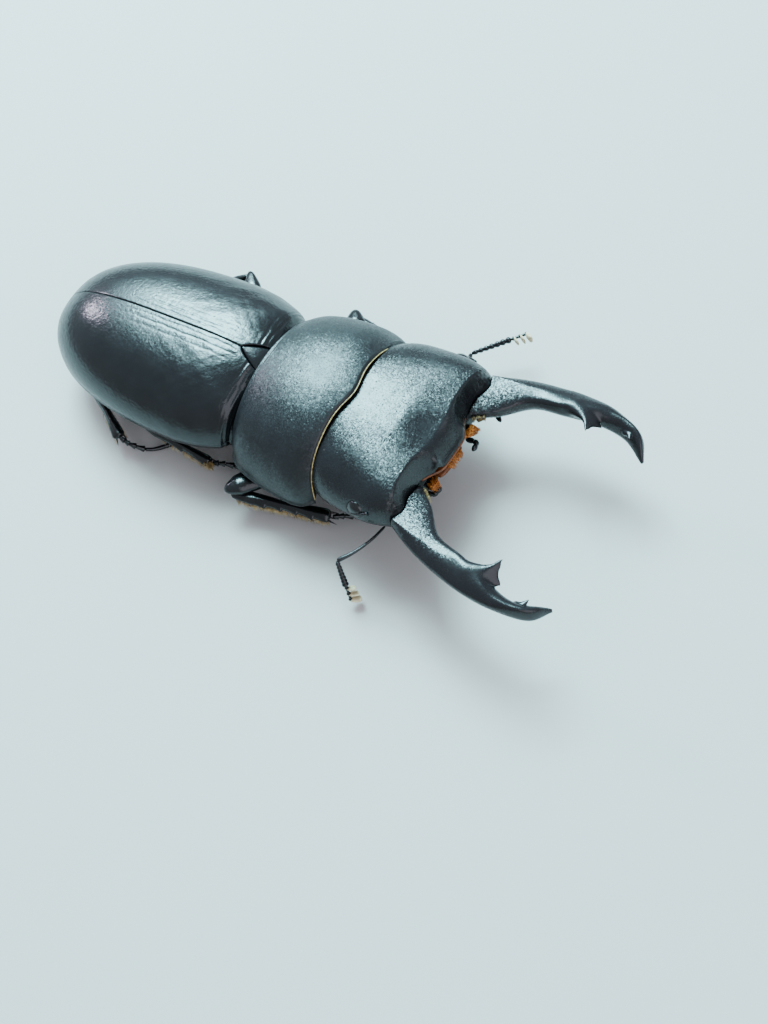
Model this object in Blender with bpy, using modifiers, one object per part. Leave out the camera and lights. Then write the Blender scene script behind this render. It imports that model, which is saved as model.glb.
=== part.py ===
"""A male stag beetle of the Dorcus hopei kind, life size, at rest with its legs drawn in.

Every size below is in millimetres, and meshes are turned to metres as they are made. The beetle
faces +X with its left side at +Y. Its own zero is on the floor, in the middle of the rear edge of
the pronotum, and BOX_CENTRE moves that so that the whole model stands centred on the origin.
"""
import math

import bmesh
import bpy
import numpy as np
from mathutils import Euler, Vector

MM = 0.001
GAP = 0.3
BOX_CENTRE = (4.95, 1.25)

# Head, in its own frame before it turns on the neck.
NECK = (11.5, 0.0, 9.0)
NECK_SHIFT = (0.0, 0.25, 0.0)
HEAD_TURN = (-1.7, -5.0, -4.1)
HEAD_REAR, TEMPLE_FROM, HEAD_WIDEST, HEAD_FRONT = 9.6, 12.1, 18.2, 22.1
HEAD_TOP, HEAD_MARGIN, HEAD_BOTTOM = 13.5, 8.2, 4.2
HEAD_FRONT_TOP, HEAD_FALL = 8.8, 1.5
BROW, BROW_CLYPEUS = 0.7, 0.75
NECK_HALF, TEMPLE_HALF, HEAD_FRONT_HALF = 9.3, 11.75, 10.75
MOUTH_TUCK = 0.7

EYE = (18.1, 10.6, 9.0)
EYE_SIZE = (1.3, 1.05, 1.25)

# Pronotum and the thorax under it, in its own frame before it turns on the waist.
WAIST = (5.0, 0.0, 0.0)
PROTHORAX_TURN = (0.0, 0.0, -3.0)
PRONOTUM_LENGTH = 11.3
PRONOTUM_HALF, PRONOTUM_WIDEST_AT = 12.15, 7.2
PRONOTUM_REAR_HALF, PRONOTUM_FRONT_HALF = 9.6, 10.7
PRONOTUM_TOP, PRONOTUM_MARGIN, PROSTERNUM = 15.0, 6.5, 2.9
PRONOTUM_CREST, PRONOTUM_FRONT_FALL, PRONOTUM_REAR_FALL = 0.6, 0.4, 1.2

# Elytra, measured backwards from the pronotum.
ELYTRA_FRONT, ELYTRA_WIDEST_AT, ELYTRA_LENGTH = 0.6, 9.0, 31.8
ELYTRA_HALF, SHOULDER_HALF = 11.4, 9.0
ELYTRA_TOP, ELYTRA_MARGIN, ELYTRA_APEX = 14.35, 7.3, 6.0
ELYTRA_DIP, ELYTRA_DIP_LENGTH = 1.05, 4.0
ELYTRON_THICK = 0.8
SHOULDER_SLANT = 0.5
SUTURE_GAP = 0.3
SCUTELLUM_LENGTH, SCUTELLUM_HALF = 2.9, 1.8

# The body under the elytra.
UNDER_ELYTRA = (1.4, 1.6)
CHEST_FROM, CHEST_TO, CHEST_BOTTOM = 0.95, 12.7, 2.9
ABDOMEN_FROM, ABDOMEN_TO, ABDOMEN_BOTTOM = 13.1, 29.5, 4.3

# Mandibles, which swing on their roots: even steps along the outer and the inner edge seen from above.
MANDIBLE_ROOT = (22.6, 8.0, 8.5)
MANDIBLE_TURN = (0.0, 0.0, -1.3)
MANDIBLE_OUTER = ((22.6, 10.85), (25.6, 12.25), (29.0, 13.15), (32.6, 13.7), (36.2, 13.6),
                  (39.75, 12.3), (41.1, 10.1))
MANDIBLE_INNER = ((22.6, 5.1), (24.9, 6.8), (27.6, 9.45), (31.2, 10.3), (35.0, 11.35),
                  (38.1, 11.55), (40.95, 9.85))
MANDIBLE_EDGE_Z = (8.9, 8.8, 8.5, 8.2, 7.5, 6.2, 5.35)
MANDIBLE_BELOW = (2.6, 2.5, 2.2, 2.0, 1.8, 1.1, 0.2)
# the ridge along the top: its place across, from 1 at the outer margin to -1 at the inner one
RIDGE_PLACE = (0.9, 0.53, 0.04, -0.5, 0.1, 0.3, 0.0)
RIDGE_Z = (9.45, 9.3, 9.15, 9.15, 8.3, 7.3, 5.6)
TEETH = {
    "main": (((30.2, 11.9, 8.05), (32.3, 11.2, 8.35), (34.0, 10.4, 8.65), (35.05, 8.8, 8.85)), 1.05),
    "upper": (((37.9, 12.2, 6.75), (38.7, 11.7, 7.05), (39.15, 10.85, 7.35)), 0.7),
}
# the plate whose front edge runs from the main tooth down to a second, blunter one
PLATE_ROUTE = ((32.0, 11.7, 8.1), (33.9, 11.2, 8.1), (35.45, 9.95, 8.05))
PLATE_SPAN = (-0.45, -0.95, 0.75)
PLATE_THICK, PLATE_EDGE, PLATE_HOLLOW = 0.95, 0.1, 0.35

# Legs: coxa, knee, end of the tibia, and the tarsus bent down to the claws.
LEGS = {
    "fore_right": ((6.9, -4.4, 3.6), (0.1, -13.2, 4.6), (12.1, -10.4, 2.6),
                   ((13.5, -9.3, 1.8), (16.1, -7.6, 0.6), (19.1, -6.4, 0.36))),
    "fore_left": ((6.9, 4.4, 3.6), (1.6, 15.0, 4.7), (14.0, 11.4, 2.6),
                  ((15.4, 10.4, 1.7), (17.2, 8.6, 0.6), (20.0, 6.9, 0.36))),
    "mid_right": ((-5.4, -3.6, 3.2), (-15.0, -9.5, 3.8), (-4.8, -10.2, 2.7),
                  ((-2.9, -9.4, 2.2), (-0.6, -8.4, 0.7), (2.4, -7.4, 0.36))),
    "mid_left": ((-5.4, 3.6, 3.2), (-14.3, 15.2, 4.6), (-22.0, 11.0, 1.7),
                 ((-23.4, 10.3, 1.1), (-25.2, 9.5, 0.5), (-28.2, 8.4, 0.36))),
    "hind_right": ((-12.4, -3.5, 3.4), (-25.4, -6.8, 2.9), (-17.2, -11.9, 2.8),
                   ((-15.6, -12.1, 2.3), (-13.8, -11.0, 0.7), (-11.4, -8.4, 0.36))),
    "hind_left": ((-12.4, 3.5, 3.4), (-25.4, 6.8, 2.9), (-18.4, 10.4, 2.7),
                  ((-17.0, 10.6, 2.0), (-15.4, 9.6, 0.7), (-13.0, 7.2, 0.36))),
}
COXA_SIZE = {"fore": (2.3, 2.6, 1.9), "mid": (2.1, 2.2, 1.7), "hind": (1.6, 2.7, 1.3)}
FEMUR_HALF = {"fore": (1.5, 1.0), "mid": (1.25, 0.8), "hind": (1.2, 0.8)}
TIBIA_HALF = {"fore": (0.8, 0.55), "mid": (0.6, 0.5), "hind": (0.65, 0.5)}
KNEE_DROP = {"fore": 0.9, "mid": 0.4, "hind": 0.4}
KNEE_ROUND = 0.4
TIBIA_TEETH = {"fore": 5, "mid": 2, "hind": 1}
TARSUS_HALF = 0.42
CLAW_LENGTH = 1.5

# Antennae: where they leave the head, the elbow, and the end of the club.
ANTENNA = {
    "right": ((20.3, -9.9, 5.4), (19.8, -12.1, 5.3), (18.9, -14.2, 5.2), (17.7, -15.9, 5.0),
              (19.5, -17.6, -0.3)),
    "left": ((20.3, 9.9, 5.4), (18.2, 12.0, 4.9), (16.5, 14.1, 4.2), (15.5, 16.1, 3.5),
             (20.7, 21.4, 4.2)),
}
ANTENNA_HALF = 0.27

BLACK = (0.012, 0.013, 0.016)
UNDERSIDE = (0.014, 0.011, 0.010)
GLOSSY_EYE = (0.010, 0.009, 0.008)
AMBER = (0.35, 0.13, 0.03)


def spline(knots, t):
    """A smooth curve through evenly spaced knots, read at t from 0 to 1 (Catmull-Rom)."""
    points = np.array(knots, dtype=float)
    last = len(points) - 1
    place = min(max(t, 0.0), 1.0) * last
    first = min(int(place), last - 1)
    part = place - first
    near = points[first]
    far = points[first + 1]
    before = points[first - 1] if first > 0 else 2 * near - far
    after = points[first + 2] if first + 2 <= last else 2 * far - near
    slope_near = (far - before) / 2
    slope_far = (after - near) / 2
    rise = far - near
    return (near + slope_near * part + (3 * rise - 2 * slope_near - slope_far) * part ** 2
            + (slope_near + slope_far - 2 * rise) * part ** 3)


def clear_scene():
    for thing in list(bpy.data.objects):
        bpy.data.objects.remove(thing, do_unlink=True)


def new_collection(name):
    collection = bpy.data.collections.new(name)
    bpy.context.scene.collection.children.link(collection)
    return collection


def new_material(name, colour, roughness, metallic=0.0):
    material = bpy.data.materials.new(name)
    material.use_nodes = True
    shader = material.node_tree.nodes["Principled BSDF"]
    shader.inputs["Base Color"].default_value = (*colour, 1.0)
    shader.inputs["Roughness"].default_value = roughness
    shader.inputs["Metallic"].default_value = metallic
    return material


class Beetle:
    """The collections, and the empties that turn the head and the prothorax."""

    def __init__(self):
        self.parts = new_collection("stag_beetle")
        self.cutters = new_collection("cutters")
        self.zeros = {None: Vector((*BOX_CENTRE, 0.0))}
        self.turns = {}
        self.turning_point("prothorax", WAIST, WAIST, PROTHORAX_TURN)
        self.turning_point("head", NECK, Vector(NECK) + Vector(NECK_SHIFT), HEAD_TURN)
        for side, name in ((1, "left"), (-1, "right")):
            root = (MANDIBLE_ROOT[0], side * MANDIBLE_ROOT[1], MANDIBLE_ROOT[2])
            self.turning_point("mandible_" + name, root, root, MANDIBLE_TURN, rides="head")

    def turning_point(self, name, zero, place, angles, rides=None):
        """An empty that carries the pieces made about the point zero, and turns them."""
        empty = bpy.data.objects.new(name + "_turn", None)
        empty.location = (Vector(place) - self.zeros[rides]) * MM
        empty.rotation_euler = Euler([math.radians(angle) for angle in angles])
        if rides:
            empty.parent = self.turns[rides]
        self.parts.objects.link(empty)
        self.turns[name] = empty
        self.zeros[name] = Vector(zero)

    def add(self, name, points, faces, material, rides=None, cutter=False, is_open=False):
        """One mesh object. A piece that rides an empty is made about that empty's place."""
        zero = self.zeros[rides]
        mesh = bpy.data.meshes.new(name)
        mesh.from_pydata([(Vector(tuple(point)) - zero) * MM for point in points], [], faces)
        shape = bmesh.new()
        shape.from_mesh(mesh)
        if not is_open:
            bmesh.ops.recalc_face_normals(shape, faces=shape.faces)
        shape.to_mesh(mesh)
        shape.free()
        mesh.shade_smooth()
        mesh.set_sharp_from_angle(angle=math.radians(40))
        piece = bpy.data.objects.new(name, mesh)
        if rides:
            piece.parent = self.turns[rides]
        if cutter:
            piece.hide_render = True
            piece.display_type = "WIRE"
            self.cutters.objects.link(piece)
        else:
            mesh.materials.append(material)
            self.parts.objects.link(piece)
        return piece

    def boolean(self, piece, other, operation):
        change = piece.modifiers.new(other.name, "BOOLEAN")
        change.object = other
        change.operation = operation
        change.solver = "EXACT"


def loft_faces(ring_count, ring_size):
    """Faces of a closed loft: quads between rings, and end caps in strips from edge to edge."""
    faces = []
    for ring in range(ring_count - 1):
        near = ring * ring_size
        far = near + ring_size
        for side in range(ring_size):
            after = (side + 1) % ring_size
            faces.append((near + side, near + after, far + after, far + side))
    for base in (0, (ring_count - 1) * ring_size):
        faces.append((base, base + 1, base + ring_size - 1))
        for side in range(1, ring_size // 2 - 1):
            under = base + ring_size - side
            faces.append((base + side, base + side + 1, under - 1, under))
        last = base + ring_size // 2
        faces.append((last - 1, last, last + 1))
    return faces


def loft(beetle, name, rings, material, **where):
    points = [point for ring in rings for point in ring]
    return beetle.add(name, points, loft_faces(len(rings), len(rings[0])), material, **where)


def steps(count, start=0.0, end=1.0):
    return [start + (end - start) * step / (count - 1) for step in range(count)]


def eased(count):
    """Steps from 0 to 1 that crowd together towards both ends."""
    return [(1 - math.cos(math.pi * step)) / 2 for step in steps(count)]


def arch(across, full, shape):
    """Height of a domed section, from 1 over the middle to 0 at the margin."""
    return max(0.0, 1 - min(abs(across) / full, 1.0) ** shape[0]) ** shape[1]


def oval(half_width, half_height):
    """A section whose two halves are functions of t."""
    return lambda t, angle: (half_width(t) * math.cos(angle), half_height(t) * math.sin(angle))


def round_bar(radius):
    return oval(radius, radius)


def tube_rings(path, section, count, sides, end=1.0, lowest=-9.0):
    """Rings along a smooth path; section gives the points about it, none of them too low."""
    rings = []
    for t in steps(count, 0.0, end):
        here = Vector(spline(path, t))
        along = Vector(spline(path, min(t + 0.02, 1.0))) - Vector(spline(path, max(t - 0.02, 0.0)))
        side = along.cross(Vector((0, 0, 1))).normalized()
        over = side.cross(along).normalized()
        ring = []
        for step in range(sides):
            across_by, over_by = section(t, 2 * math.pi * step / sides)
            point = here + side * across_by + over * over_by
            ring.append((point.x, point.y, max(point.z, lowest)))
        rings.append(ring)
    return rings


def domed_ring(across_steps, place, above, below):
    """A ring from the left margin over the top to the right one and back underneath.

    place(f) gives x and y at the fraction f of the half width, and above(f) and below(f) the
    heights there.
    """
    top = [(*place(f), above(f)) for f in across_steps]
    bottom = [(*place(f), below(f)) for f in reversed(across_steps[1:-1])]
    return top + bottom


def across(count):
    """Fractions of the half width from 1 to -1, close together at the margins."""
    return [math.cos(math.pi * step) for step in steps(count)]


def head_half(x):
    spread = TEMPLE_HALF - NECK_HALF
    half = NECK_HALF + spread * (1 - math.exp(-max(x - TEMPLE_FROM, 0.0) / 1.4))
    past = max(x - HEAD_WIDEST, 0.0) / (HEAD_FRONT - HEAD_WIDEST)
    return half - (TEMPLE_HALF - HEAD_FRONT_HALF) * past ** 2


def head_front(y):
    """Front margin: the clypeus juts in the middle, the corners a little at the sides."""
    clypeus = 1.6 / (1 + (abs(y) / 3.5) ** 6)
    corner = 0.65 * math.exp(-((abs(y) - 9.1) / 1.3) ** 2)
    return HEAD_FRONT + clypeus + corner


def head_ring(u, count=13):
    top = HEAD_TOP - HEAD_FALL * u ** 2
    bottom = HEAD_BOTTOM + 1.0 * u ** 2
    shape = (2.4 + 3.6 * u ** 3, 0.5)

    def place(f):
        y = f * head_half(HEAD_REAR + u * (HEAD_FRONT - HEAD_REAR))
        return (HEAD_REAR + u * (head_front(y) - HEAD_REAR), y)

    def above(f):
        """The flat crown, which drops steeply over the brow to the front margin."""
        x, y = place(f)
        run = head_front(y) - x
        brow = BROW + BROW_CLYPEUS * max(0.0, head_front(y) - HEAD_FRONT)
        drop = max(0.0, 1 - run / brow) ** 1.2
        crown = HEAD_MARGIN + (top - HEAD_MARGIN) * arch(f, 1, shape)
        edge = HEAD_MARGIN + (HEAD_FRONT_TOP - HEAD_MARGIN) * arch(f, 1, (6, 0.5))
        return crown + (edge - crown) * drop

    def below(f):
        return HEAD_MARGIN - (HEAD_MARGIN - bottom) * arch(f, 1, (3, 0.6))

    def tucked(x, y, z):
        """Under the clypeus the front of the head slopes back to the mouth."""
        middle = 1 / (1 + (abs(y) / 4.6) ** 8)
        return (x - MOUTH_TUCK * u ** 6 * middle * max(0.0, HEAD_MARGIN - z), y, z)

    return [tucked(*point) for point in domed_ring(across(count), place, above, below)]


def ellipsoid(beetle, name, centre, radii, material, segments=8, rings=6, **where):
    shape = bmesh.new()
    bmesh.ops.create_uvsphere(shape, u_segments=segments, v_segments=rings, radius=1.0)
    points = [[centre[axis] + vertex.co[axis] * radii[axis] for axis in range(3)]
              for vertex in shape.verts]
    faces = [[vertex.index for vertex in face.verts] for face in shape.faces]
    shape.free()
    return beetle.add(name, points, faces, material, **where)


def socket(beetle, piece, centre, radii, rides=None):
    """Cuts the hollow that a rounded piece sits in, with the gap all round it."""
    grown = [radius + GAP for radius in radii]
    cutter = ellipsoid(beetle, piece.name + "_socket", centre, grown, None, segments=10,
                       rings=6, rides=rides, cutter=True)
    beetle.boolean(piece, cutter, "DIFFERENCE")


def make_head(beetle, looks):
    rings = [head_ring(math.sin(math.radians(turn))) for turn in steps(11, 0.0, 90.0)]
    head = loft(beetle, "head", rings, looks["black"], rides="head")
    for side, name in ((1, "left"), (-1, "right")):
        centre = (EYE[0], side * EYE[1], EYE[2])
        socket(beetle, head, centre, EYE_SIZE, rides="head")
        ellipsoid(beetle, "eye_" + name, centre, EYE_SIZE, looks["eye"], rides="head")


def mandible_ring(t, side, sides=10):
    outer = spline(MANDIBLE_OUTER, t)
    inner = spline(MANDIBLE_INNER, t)
    edge, below, ridge, ridge_z = (float(spline(knots, t)) for knots in
                                   (MANDIBLE_EDGE_Z, MANDIBLE_BELOW, RIDGE_PLACE, RIDGE_Z))
    middle = (outer + inner) / 2
    half = (outer - inner) / 2
    ring = []
    for step in range(sides):
        angle = 2 * math.pi * step / sides
        place, rise = math.cos(angle), math.sin(angle)
        away = (place - ridge) / (1 - ridge) if place > ridge else (ridge - place) / (1 + ridge)
        above = (ridge_z - edge) * arch(away, 1, (1.7, 0.62))
        x, y = middle + half * place
        x += (head_front(y) + GAP - MANDIBLE_OUTER[0][0]) * max(0.0, 1 - 6 * t)
        ring.append((x, side * y, edge + (above if rise > 0 else below * rise)))
    return ring


def tooth(beetle, name, route, radius, side, sides=8):
    """A short horn along a route, as a tapering loft that is joined to its mandible."""
    path = [(x, side * y, z) for x, y, z in route]
    section = oval(lambda t: radius * (1 - 0.93 * t ** 1.3),
                   lambda t: 0.8 * radius * (1 - 0.93 * t ** 1.3))
    return loft(beetle, name, tube_rings(path, section, 5, sides), None, cutter=True,
                rides="mandible_left" if side > 0 else "mandible_right")


def tooth_plate(beetle, name, side, sides=8):
    """The plate below the main tooth, thin and a little hollow along its front edge."""
    rings = []
    for t in steps(5):
        centre = Vector(spline(PLATE_ROUTE, t))
        ahead = Vector(spline(PLATE_ROUTE, min(t + 0.02, 1.0))) - Vector(spline(PLATE_ROUTE, t - 0.02))
        span = Vector(PLATE_SPAN)
        across = ahead.cross(span).normalized() * (PLATE_THICK * (1 - t) ** 0.8 + PLATE_EDGE)
        ring = []
        for step in range(sides):
            angle = 2 * math.pi * step / sides
            back = PLATE_HOLLOW * (t * math.sin(angle)) ** 2
            point = centre + span * math.cos(angle) + across * math.sin(angle)
            point -= ahead.normalized() * back
            ring.append((point.x, side * point.y, point.z))
        rings.append(ring)
    return loft(beetle, name, rings, None, cutter=True,
                rides="mandible_left" if side > 0 else "mandible_right")


def make_mandibles(beetle, looks):
    for side, name in ((1, "left"), (-1, "right")):
        rings = [mandible_ring(t, side) for t in steps(15)]
        mandible = loft(beetle, "mandible_" + name, rings, looks["black"],
                        rides="mandible_" + name)
        for label, (route, radius) in TEETH.items():
            horn = tooth(beetle, f"{label}_tooth_{name}", route, radius, side)
            beetle.boolean(mandible, horn, "UNION")
        beetle.boolean(mandible, tooth_plate(beetle, "tooth_plate_" + name, side), "UNION")


def make_mouth(beetle, looks):
    """Labrum under the clypeus, mentum under the head, and the two pairs of palps."""
    labrum = [domed_ring(across(7), lambda f, x=x: (x - 0.35 * abs(f) ** 3, f * 2.3),
                         lambda f, x=x: 6.4 + 0.4 * arch(f, 1, (4, 0.5)),
                         lambda f, x=x: 6.4 - 0.5 * arch(f, 1, (4, 0.5)))
              for x in (22.9, 23.15, 23.4)]
    loft(beetle, "labrum", labrum, looks["amber"], rides="head")
    mentum = [domed_ring(across(7), lambda f, x=x: (x, f * (3.4 + 0.5 * math.sin(x - 18.0))),
                         lambda f, x=x: 4.1 - GAP + 0.06 * (x - 18.0),
                         lambda f, x=x: 3.75 - GAP + 0.06 * (x - 18.0) - 0.35 * arch(f, 1, (4, 0.5)))
              for x in (18.0, 19.0, 20.4, 21.2)]
    loft(beetle, "mentum", mentum, looks["under"], rides="head")
    for side, name in ((1, "left"), (-1, "right")):
        maxillary = [(21.9, side * 7.2, 4.6), (22.9, side * 8.95, 4.6), (24.3, side * 8.2, 4.6)]
        labial = [(22.2, side * 4.2, 4.5), (23.2, side * 4.1, 4.7), (23.5, side * 3.1, 4.8)]
        for label, path in (("maxillary", maxillary), ("labial", labial)):
            rings = tube_rings(path, round_bar(lambda t: 0.26 + 0.08 * math.sin(7 * t)), 6, 6)
            loft(beetle, f"{label}_palp_{name}", rings, looks["black"], rides="head")


def make_antennae(beetle, looks):
    for side, route in ANTENNA.items():
        scape = tube_rings(route[:4], round_bar(lambda t: ANTENNA_HALF * (0.8 + 0.45 * t)), 9, 6)
        loft(beetle, "antenna_scape_" + side, scape, looks["black"], rides="head")
        elbow = Vector(route[3])
        away = (Vector(route[4]) - elbow).normalized()
        start = elbow + away * (ANTENNA_HALF * 1.25 + GAP + 0.1)
        beads = round_bar(lambda t: 0.27 + 0.05 * math.cos(16 * math.pi * t))
        club = tube_rings([start, route[4]], beads, 17, 6)
        funicle = loft(beetle, "antenna_club_" + side, club, looks["black"], rides="head")
        leaf_way = away.cross(Vector((0, 0, 1))).normalized()
        leaf_way = leaf_way if leaf_way.x > 0 else -leaf_way
        length = (Vector(route[4]) - start).length
        for number in range(3):
            root = start + away * (length - 0.35 - 0.75 * (2 - number))
            reach = 0.75 + 0.1 * number
            leaf = ellipsoid(beetle, f"leaf_{number}_{side}", root + leaf_way * reach * 0.55,
                             (reach * 0.75, reach * 0.75, 0.3), None, segments=6, rings=4,
                             rides="head", cutter=True)
            beetle.boolean(funicle, leaf, "UNION")


def pronotum_half(x):
    """Half width: oblique hind corners, widest before the middle, drawn in at the front."""
    if x > PRONOTUM_WIDEST_AT:
        past = (x - PRONOTUM_WIDEST_AT) / (PRONOTUM_LENGTH - PRONOTUM_WIDEST_AT)
        return PRONOTUM_HALF - (PRONOTUM_HALF - PRONOTUM_FRONT_HALF) * past ** 2
    short = (PRONOTUM_WIDEST_AT - x) / PRONOTUM_WIDEST_AT
    corner = (PRONOTUM_HALF - PRONOTUM_REAR_HALF - 1.3) * math.exp(-max(x + 0.25, 0.0) / 0.8)
    return PRONOTUM_HALF - 1.3 * short ** 2 - corner


def pronotum_front(y):
    """Front margin: a lobe in the middle and corners that reach forward."""
    lobe = 0.65 * math.exp(-(y / 2.4) ** 2)
    return PRONOTUM_LENGTH - 0.3 + lobe + 0.8 * (abs(y) / PRONOTUM_FRONT_HALF) ** 10


def prothorax_ring(u):
    if u > PRONOTUM_CREST:
        fall = PRONOTUM_FRONT_FALL * ((u - PRONOTUM_CREST) / (1 - PRONOTUM_CREST)) ** 2
    else:
        fall = PRONOTUM_REAR_FALL * (1 - u / PRONOTUM_CREST) ** 2
    top = PRONOTUM_TOP - fall
    rear = -0.25

    def place(f):
        y = f * pronotum_half(rear + u * (PRONOTUM_LENGTH - rear))
        return (rear + u * (pronotum_front(y) - rear), y)

    def above(f):
        return PRONOTUM_MARGIN + (top - PRONOTUM_MARGIN) * arch(f, 1, (1.9 + 0.5 * u, 0.5))

    def below(f):
        return PRONOTUM_MARGIN - (PRONOTUM_MARGIN - PROSTERNUM) * arch(f, 1, (1.6, 1.8))

    return domed_ring(across(13), place, above, below)


def neck_cutter(beetle):
    """The head's neck grown by the gap, which hollows the collar that it turns in."""
    rings = []
    for x in (HEAD_REAR - GAP, 10.5, 11.3, 13.0):
        half = NECK_HALF + GAP

        def above(f):
            return HEAD_MARGIN + (HEAD_TOP + GAP - HEAD_MARGIN) * arch(f, 1, (2.4, 0.5))

        def below(f):
            return HEAD_MARGIN - (HEAD_MARGIN - HEAD_BOTTOM + GAP) * arch(f, 1, (3, 0.6))

        rings.append(domed_ring(across(11), lambda f, x=x: (x, f * half), above, below))
    return loft(beetle, "neck_room", rings, None, rides="head", cutter=True)


def make_prothorax(beetle, looks):
    rings = [prothorax_ring(u) for u in eased(9)]
    prothorax = loft(beetle, "prothorax", rings, looks["black"], rides="prothorax")
    beetle.boolean(prothorax, neck_cutter(beetle), "DIFFERENCE")
    return prothorax


def elytra_half(back):
    """Half width of both elytra together at a distance back from the pronotum."""
    if back < ELYTRA_WIDEST_AT:
        turn = math.sin(math.pi / 2 * back / ELYTRA_WIDEST_AT)
        return SHOULDER_HALF + (ELYTRA_HALF - SHOULDER_HALF) * turn ** 0.8
    t = (back - ELYTRA_WIDEST_AT) / (ELYTRA_LENGTH - ELYTRA_WIDEST_AT)
    return ELYTRA_HALF * max(0.0, 1 - t ** 2.25) ** 0.4545


def elytra_heights(back):
    """Heights of the margin and of the suture."""
    t = max(0.0, back - ELYTRA_WIDEST_AT) / (ELYTRA_LENGTH - ELYTRA_WIDEST_AT)
    margin = ELYTRA_MARGIN + (ELYTRA_APEX - ELYTRA_MARGIN) * t ** 3
    top = ELYTRA_APEX + 0.2 + (ELYTRA_TOP - ELYTRA_APEX - 0.2) * max(0.0, 1 - t ** 4.1) ** 0.59
    return margin, top - ELYTRA_DIP * math.exp(-(back / ELYTRA_DIP_LENGTH) ** 2)


def elytra_dome(back, f):
    margin, top = elytra_heights(back)
    return margin + (top - margin) * arch(f, 1, (2.75, 0.52))


def scutellum_notch(back):
    part = 1 - (back - ELYTRA_FRONT) / SCUTELLUM_LENGTH
    return SCUTELLUM_HALF * max(0.0, part) ** 0.65


def make_elytra(beetle, looks):
    """Two open half domes, thickened inwards."""
    backs = steps(4, ELYTRA_FRONT, ELYTRA_WIDEST_AT)
    reach = ELYTRA_LENGTH - ELYTRA_WIDEST_AT
    backs += [ELYTRA_WIDEST_AT + reach * math.sin(math.radians(turn))
              for turn in (14, 28, 41, 53, 64, 73, 80, 85, 88.5)]
    columns = [math.sin(math.pi / 2 * step) for step in steps(8)]
    for side, name in ((1, "left"), (-1, "right")):
        points = []
        for back in backs:
            half = elytra_half(back)
            inner = min(SUTURE_GAP / 2 + scutellum_notch(back), half * 0.5)
            slant = SHOULDER_SLANT * max(0.0, 1 - back / ELYTRA_WIDEST_AT)
            for column in columns:
                y = inner + (half - inner) * column
                x = -back - slant * (y / half) ** 2
                points.append((x, side * y, elytra_dome(back, y / half)))
        faces = []
        for row in range(len(backs) - 1):
            for column in range(len(columns) - 1):
                near = row * len(columns) + column
                far = near + len(columns)
                quad = (near, near + 1, far + 1, far)
                faces.append(quad if side > 0 else quad[::-1])
        elytron = beetle.add("elytron_" + name, points, faces, looks["black"], is_open=True)
        thicken = elytron.modifiers.new("shell", "SOLIDIFY")
        thicken.thickness = ELYTRON_THICK * MM
        thicken.offset = -1.0


def make_scutellum(beetle, looks):
    rings = []
    for back in steps(5, ELYTRA_FRONT, ELYTRA_FRONT + SCUTELLUM_LENGTH - 0.6):
        half = scutellum_notch(back) - 0.15
        top = elytra_heights(back)[1] - 0.2
        rings.append(domed_ring(across(7), lambda f, b=back, h=half: (-b, f * h),
                                lambda f, z=top: z - 0.3 + 0.3 * arch(f, 1, (2, 0.5)),
                                lambda f, z=top: z - 0.7 - 0.2 * arch(f, 1, (2, 0.5))))
    loft(beetle, "scutellum", rings, looks["black"])


def trunk_ring(back, bottom, under):
    """A section of the body that fills the elytra from below, clear of their shells."""
    side_room, top_room = UNDER_ELYTRA
    half = elytra_half(back) - side_room
    margin, top = elytra_heights(back)

    def above(f):
        return margin + (top - top_room - margin) * arch(f, 1, (2.6, 0.55))

    def below(f):
        return margin - (margin - bottom) * arch(f, 1, under)

    return domed_ring(across(11), lambda f: (-back, f * half), above, below)


def make_trunk(beetle, looks):
    """The chest, which carries the rear two pairs of legs, and the ringed abdomen."""
    chest_rings = [trunk_ring(back, CHEST_BOTTOM + 0.8 * (1 - part) ** 4, (1.8, 1.3))
                   for part, back in zip(steps(6), steps(6, CHEST_FROM, CHEST_TO))]
    chest = loft(beetle, "chest", chest_rings, looks["under"])
    rings = []
    segments = 5
    length = ABDOMEN_TO - ABDOMEN_FROM
    for number in range(segments):
        for part, dip in ((0.03, 0.25), (0.2, 0.0)):
            t = (number + part) / segments
            bottom = ABDOMEN_BOTTOM + dip + 1.6 * t ** 4
            rings.append(trunk_ring(ABDOMEN_FROM + t * length, bottom, (2.4, 0.75)))
    last = trunk_ring(ABDOMEN_TO, ABDOMEN_BOTTOM + 1.7, (2.4, 0.75))
    rings.append(last)
    rings.append([(x - 0.6, 0.7 * y, z + 0.5 * (ELYTRA_MARGIN - z)) for x, y, z in last])
    loft(beetle, "abdomen", rings, looks["under"])
    return chest


def reach_of(radii, way):
    """How far an ellipsoid reaches along a direction."""
    return math.sqrt(sum((radii[axis] * way[axis]) ** 2 for axis in range(3)))


def femur_section(half):
    """A spindle, thickest before its middle, that closes roundly beyond the knee."""
    def swell(t, least):
        end = 1 - 0.45 * max(0.0, t - 0.85) / 0.15
        return end * (least + (1 - least) * math.sin(math.pi * (0.15 + t * 0.7)))

    return oval(lambda t: half[0] * swell(t, 0.5), lambda t: half[1] * swell(t, 0.55))


def tibia_section(half, teeth, outward):
    """A flattened bar, narrow at the knee, with teeth along its outer edge."""
    def section(t, angle):
        width = half[0] * (0.6 + 0.4 * min(1.0, 5 * t) - 0.3 * math.exp(-((t - 0.55) / 0.25) ** 2))
        height = half[1] * (0.75 + 0.25 * min(1.0, 3 * t))
        if teeth and math.cos(angle) * outward > 0.5 and t > 0.2:
            width += 0.3 * half[0] * ((t - 0.2) / 0.8 * teeth % 1.0)
        return (width * math.cos(angle), height * math.sin(angle))
    return section


def tarsus_section(t, angle):
    """Four short joints and a long one, each swelling towards its end."""
    joint = t / 0.14 % 1.0 if t < 0.56 else (t - 0.56) / 0.44
    radius = TARSUS_HALF * (0.66 + 0.34 * joint ** 2)
    return (radius * math.cos(angle), radius * math.sin(angle))


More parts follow.
